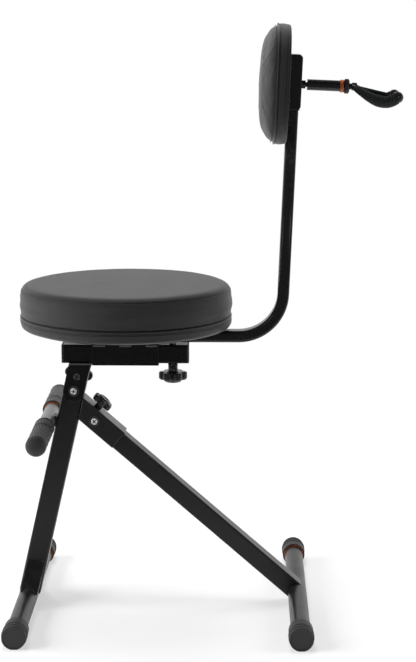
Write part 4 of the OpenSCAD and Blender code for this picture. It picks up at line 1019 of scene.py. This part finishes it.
REAR_KNOB = (0, -10, 23.8)       # where each knob's hub starts, in its own frame
SEAT_KNOB = (-20.6, 0, 25)
CLAMP_KNOB = (0, 78.3, -0.3)
FOLD_PLACE = Matrix.Translation(middle("fold_bush")) @ turn(-FOLD_LEAN, "X")
HINGE_PLACE = Matrix.Translation(middle("seat_pivot_bush")) @ turn(-LEG_TILT, "X")
UNDER_RECEIVER = Matrix.Translation((0, SEAT_Y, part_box("receiver")[0].z))


def make_knobs():
    """The three star grips, each laid over the plainer one of the CAD model."""
    place = FOLD_PLACE @ shift(*REAR_KNOB)
    star_knob("rear_star_knob", "rear_lock_knob", "rear_lock", place,
              d=38.0, h=10.5, lobes=6, hub_d=14.0, hub_h=1.5)
    place = HINGE_PLACE @ shift(*SEAT_KNOB) @ turn(-90, "Y") @ turn(180, "Z")
    star_knob("seat_star_knob", "seat_lock_knob", "seat_lock", place,
              d=50.0, h=12.0, lobes=5, hub_d=18.0, hub_h=8.0)
    place = UNDER_RECEIVER @ shift(*CLAMP_KNOB) @ turn(180, "X") @ turn(30, "Z")
    star_knob("clamp_star_knob", "bar_clamp_knob", "bar_clamp", place,
              d=48.0, h=14.0, lobes=6, hub_d=16.5, hub_h=16.0)


CAP_CLEAR = 0.4          # the ridges stay this far above the floor


def make_cap_ridges():
    """Raised rim on the end of each foot cap and two ridges round its sleeve."""
    for end, body in (("front", "frame"), ("rear", "rear_frame")):
        low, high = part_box(end + "_foot_caps")
        x, r = high.x / MM, CAP_D / 2
        crest = Matrix.Translation((0, (low.y + high.y) / 2, high.z))
        place = crest @ shift(0, 0, -r) @ turn(90, "Y")
        outlines = [[(r - 3.4, x - 0.6), (r - 3.0, x + 0.5), (r - 1.6, x + 0.9), (r - 0.3, x + 0.2),
                     (r - 0.2, x - 0.6)]]
        for back in (10.0, 21.0):
            outlines.append([(r - 0.3, x - back - 1.0), (r + 0.8, x - back),
                             (r + 0.8, x - back + 1.4), (r - 0.3, x - back + 2.4)])
        verts, faces = [], []
        for outline in outlines:
            more, rings = lathe(outline, place, 96)
            faces += [tuple(len(verts) + i for i in face) for face in rings]
            verts += more
        # The flat underneath the caps stays flat
        verts = [Vector((v.x, v.y, max(v.z, CAP_CLEAR * MM))) for v in verts]
        verts, faces = mirrored(verts, faces)
        add_piece(end + "_foot_cap_ridges", verts, faces, body, RUBBER)


# Rows of small parts, laid along lines by Geometry Nodes


def make_row_tree():
    """Beads, stitches or ripples set along every line of a mesh."""
    tree = bpy.data.node_groups.new("parts_along_lines", "GeometryNodeTree")
    face = tree.interface
    face.new_socket("Lines", in_out="INPUT", socket_type="NodeSocketGeometry")
    for label in ("Spacing", "Length", "Thickness", "Unevenness"):
        face.new_socket(label, in_out="INPUT", socket_type="NodeSocketFloat")
    face.new_socket("Seed", in_out="INPUT", socket_type="NodeSocketInt")
    face.new_socket("Finish", in_out="INPUT", socket_type="NodeSocketMaterial")
    face.new_socket("Parts", in_out="OUTPUT", socket_type="NodeSocketGeometry")
    t = Tree(tree)
    given, out = t.add("NodeGroupInput").outputs, t.add("NodeGroupOutput").inputs
    line = t.add("GeometryNodeMeshToCurve", Mesh=given["Lines"])
    spaced = t.add("GeometryNodeResampleCurve", {"mode": "LENGTH"}, Curve=line.outputs[0],
                   Length=given["Spacing"])
    bead = t.add("GeometryNodeMeshUVSphere", Segments=10, Rings=8, Radius=0.5)
    tangent = t.add("GeometryNodeInputTangent").outputs[0]
    aim = t.add("FunctionNodeAlignRotationToVector", {"axis": "X"}, Vector=tangent)
    random = t.add("FunctionNodeRandomValue", {"data_type": "FLOAT_VECTOR"})
    t.put(random.inputs["Min"], (-1.0, -1.0, -1.0))
    t.put(random.inputs["Max"], (1.0, 1.0, 1.0))
    t.put(next(s for s in random.inputs if s.name == "Seed"), given["Seed"])
    change = t.vector("SCALE", random.outputs[0], Scale=given["Unevenness"])
    change = t.vector("ADD", change, i1=(1.0, 1.0, 1.0))
    thick = given["Thickness"]
    size = t.add("ShaderNodeCombineXYZ", X=given["Length"], Y=thick, Z=thick)
    size = t.vector("MULTIPLY", size.outputs[0], i1=change)
    placed = t.add("GeometryNodeInstanceOnPoints", Points=spaced.outputs[0],
                   Instance=bead.outputs[0], Rotation=aim.outputs[0], Scale=size)
    plain = t.add("GeometryNodeRealizeInstances", Geometry=placed.outputs[0])
    finish = t.add("GeometryNodeSetMaterial", Geometry=plain.outputs[0], Material=given["Finish"])
    t.put(out["Parts"], finish.outputs[0])
    return tree


ROW_TREE = make_row_tree()


def make_row(name, lines, body, finish, sizes, uneven, seed):
    """One plain mesh of parts along lines; sizes are their spacing, length and thickness."""
    verts, edges = [], []
    for points, closed in lines:
        start = len(verts)
        verts += [tuple(p) for p in points]
        edges += [(start + i, start + i + 1) for i in range(len(points) - 1)]
        if closed:
            edges.append((start + len(points) - 1, start))
    mesh = bpy.data.meshes.new(name)
    mesh.from_pydata(verts, edges, [])
    piece = new_object(name, mesh)
    nodes = piece.modifiers.new("row", "NODES")
    nodes.node_group = ROW_TREE
    spacing, length, thickness = (v * MM for v in sizes)
    values = {"Spacing": spacing, "Length": length, "Thickness": thickness,
              "Unevenness": uneven, "Seed": seed, "Finish": finish}
    for item in ROW_TREE.interface.items_tree:
        if item.name in values:
            nodes[item.identifier] = values[item.name]
    bpy.context.view_layer.update()
    graph = bpy.context.evaluated_depsgraph_get()
    made = bpy.data.meshes.new_from_object(piece.evaluated_get(graph))
    piece.modifiers.clear()
    piece.data = made
    dress(piece, body, finish)


# A line is its points in metres and whether it is closed


def circle_line(radius, height, steps=240):
    return [around(SEAT_PLACE, radius, math.tau * k / steps, height) for k in range(steps)], True


def oval_line(inset, forward, steps=200):
    loop = super_oval(PAD_W - 2 * inset, PAD_H - 2 * inset, steps)
    return [at(PAD_PLACE, x, -forward, z) for x, z in loop], True


def straight(x0, y0, x1, y1, z):
    """A level line, its ends in millimetres."""
    return [Vector((x0, y0, z)) * MM, Vector((x1, y1, z)) * MM], False


# Spacing, length and thickness of a row's parts
STITCH = (4.2, 3.2, 0.9)
SADDLE_BEAD = (1.5, 2.6, 5.4)
NECK_BEAD = (1.5, 2.4, 3.2)


def make_stitches():
    lines = [circle_line(SEAT_R - 3.1, SEAT_SEAM_H - 3.2),
             circle_line(SEAT_R - 1.5, SEAT_PIPE_H - 5.2)]
    make_row("seat_stitches", lines, "seat", VINYL_SMOOTH, STITCH, 0.12, 3)
    lines = [oval_line(3.4, PAD_BAND + 4.6)]
    make_row("backrest_stitches", lines, "backrest", VINYL_SMOOTH, STITCH, 0.12, 5)


WELD_PITCH = 43.8        # between the short welds along a side of the saddle
WELD_HALF = 9.0
WELD_MIDDLE = -1.0       # the middle one from the seat's middle
SADDLE_FLANGE = 18.0
NECK_HALF = (20.4, 19.0)         # half the neck's width and depth


def make_welds():
    """Rippled beads where the tubes and sheets join."""
    low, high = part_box("receiver")
    top, under = high.z / MM, low.z / MM
    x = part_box("saddle")[1].x / MM - SADDLE_FLANGE - 0.6
    lines = []
    for side in (-1, 1):
        for i in (-1, 0, 1):
            y = SEAT_Y / MM + WELD_MIDDLE + i * WELD_PITCH
            lines.append(straight(side * x, y - WELD_HALF, side * x, y + WELD_HALF, top - 0.3))
    make_row("saddle_welds", lines, "seat", WELD_PAINTED_HIGHLIGHT, SADDLE_BEAD, 0.1, 11)
    hinge = middle("seat_pivot_bush") / MM
    x, y = NECK_HALF[0], hinge.y + (under - hinge.z) * math.tan(math.radians(LEG_TILT))
    front, back, z = y - NECK_HALF[1], y + NECK_HALF[1], under - 0.4
    lines = [straight(side * x, front + 2, side * x, back - 2, z) for side in (-1, 1)]
    lines.append(straight(-18, back + 0.2, 18, back + 0.2, z))
    make_row("neck_welds", lines, "seat", WELD_PAINTED_HIGHLIGHT, NECK_BEAD, 0.14, 12)


make_knobs()
make_stitches()
make_welds()
make_grips()
make_grip_caps()
make_cap_ridges()
make_bar()
make_foam()
make_collar()
make_seat_dust_cloth()


# Stage, lights and camera

FLOOR_HALF = 6.0
FLOOR_FADE = (0.55, 1.4)         # the floor turns plain white over these distances
FLOOR_GLOW = 0.5                 # least share of plain white
FLOOR_SIDE = (-0.3, 1.3)         # x over which its reflection dims toward the camera
WORLD_LEVEL = 0.35
WORLD_SIDE = (-0.75, 0.35)       # the same for the room, by direction
WORLD_UP = (0.3, 0.75)           # heights of direction over which the ceiling dims
DIM_SIDE = 0.15
DIM_UP = 0.2
VIEW_FROM = Vector((3.0594, 0.19085 + SEAT_Y, 1.0357))
VIEW_PITCH, VIEW_YAW = math.radians(10.41), math.radians(1.0)


def make_floor():
    """Pale floor that keeps the shadows and fades to plain white far out."""
    mesh = bpy.data.meshes.new("floor")
    h = FLOOR_HALF
    corners = [(-h, -h, 0), (h, -h, 0), (h, h, 0), (-h, h, 0)]
    mesh.from_pydata(corners, [], [(0, 1, 2, 3)])
    floor = new_object("floor", mesh)
    material = bpy.data.materials.new("white_floor")
    material.use_nodes = True
    t = Tree(material.node_tree)
    shader = material.node_tree.nodes["Principled BSDF"]
    shader.inputs["Base Color"].default_value = grey(0.93)
    shader.inputs["Roughness"].default_value = 0.9
    place = t.place()
    far = t.vector("LENGTH", place)
    path = t.add("ShaderNodeLightPath").outputs
    seen = t.larger(path["Is Camera Ray"], path["Is Transmission Ray"])
    glossy = path["Is Glossy Ray"]
    # What a black face mirrors toward the camera's side is dim, as behind a photographer
    dimmed = t.times(glossy, t.span(t.axis(place, 0), *FLOOR_SIDE))
    level = t.calc("SUBTRACT", 1.0, t.times(dimmed, 1.0 - DIM_SIDE))
    glow = t.add("ShaderNodeEmission", Color=grey(1.0), Strength=level).outputs[0]
    plain = t.larger(t.larger(t.span(far, *FLOOR_FADE), dimmed), FLOOR_GLOW)
    share = t.times(t.larger(seen, glossy), plain)
    blend = t.add("ShaderNodeMixShader", i0=share, i1=shader.outputs[0], i2=glow).outputs[0]
    t.put(material.node_tree.nodes["Material Output"].inputs["Surface"], blend)
    mesh.materials.append(material)


def make_world():
    """Plain white to the camera, a soft grey room to the stool."""
    world = bpy.data.worlds.new("soft_room")
    bpy.context.scene.world = world
    world.use_nodes = True
    t = Tree(world.node_tree)
    base = world.node_tree.nodes["Background"]
    path = t.add("ShaderNodeLightPath").outputs
    seen = t.larger(path["Is Camera Ray"], path["Is Transmission Ray"])
    aim = t.add("ShaderNodeTexCoord").outputs["Generated"]
    side = t.span(t.axis(aim, 0), *WORLD_SIDE, 1.0, DIM_SIDE)
    # The ceiling is dim in reflections, so rolled edges stay darker than flat tops
    up = t.span(t.axis(aim, 2), *WORLD_UP, 1.0, DIM_UP)
    level = t.larger(WORLD_LEVEL, t.times(path["Is Glossy Ray"], up))
    t.put(base.inputs["Color"], grey(1.0))
    t.put(base.inputs["Strength"], t.larger(seen, t.times(level, side)))


def soft_lamp(name, place, aim, size, power, lights=True, shines=True):
    """A panel lamp that may light without shining in reflections, or the other way round."""
    data = bpy.data.lights.new(name, "AREA")
    data.shape = "RECTANGLE"
    data.size, data.size_y = size
    data.energy = power
    lamp = new_object(name, data)
    lamp.location = place
    way = Vector(aim) - Vector(place)
    lamp.rotation_euler = way.to_track_quat("-Z", "Y").to_euler()
    lamp.visible_diffuse = lights
    lamp.visible_glossy = shines


def make_camera():
    """The photograph's own view: the stool's left side, a little from above."""
    data = bpy.data.cameras.new("photo_view")
    data.sensor_width = 36.0
    data.sensor_fit = "AUTO"
    data.lens = 100.57
    data.clip_start, data.clip_end = 0.05, 50.0
    camera = new_object("photo_view", data)
    flat = math.cos(VIEW_PITCH)
    forward = -Vector((math.cos(VIEW_YAW) * flat, math.sin(VIEW_YAW) * flat, math.sin(VIEW_PITCH)))
    camera.location = VIEW_FROM
    camera.rotation_euler = forward.to_track_quat("-Z", "Y").to_euler()
    bpy.context.scene.camera = camera


make_floor()
make_world()
soft_lamp("key", (0.6, -2.7, 1.7), (0, 0, 0.3), (2.4, 1.4), 112.0, shines=False)
soft_lamp("top", (-0.7, -0.3, 3.0), (0, 0, 0.3), (1.4, 1.4), 55.0, shines=False)
soft_lamp("rim", (0.1, 2.8, 1.7), (0, 0, 0.4), (0.9, 1.4), 40.0, shines=False)
# Two small panels that only shine in rounded edges
soft_lamp("edge_left", (2.4, -1.35, 1.35), (0, 0, 0.4), (0.35, 0.35), 4.0, lights=False)
soft_lamp("edge_right", (2.4, 1.2, 1.35), (0, 0, 0.4), (0.35, 0.35), 4.0, lights=False)
soft_lamp("low", (0.1, -2.7, 0.6), (0, -0.1, 0.42), (0.7, 0.3), 8.0)
make_camera()
bpy.context.scene.view_settings.view_transform = "Standard"
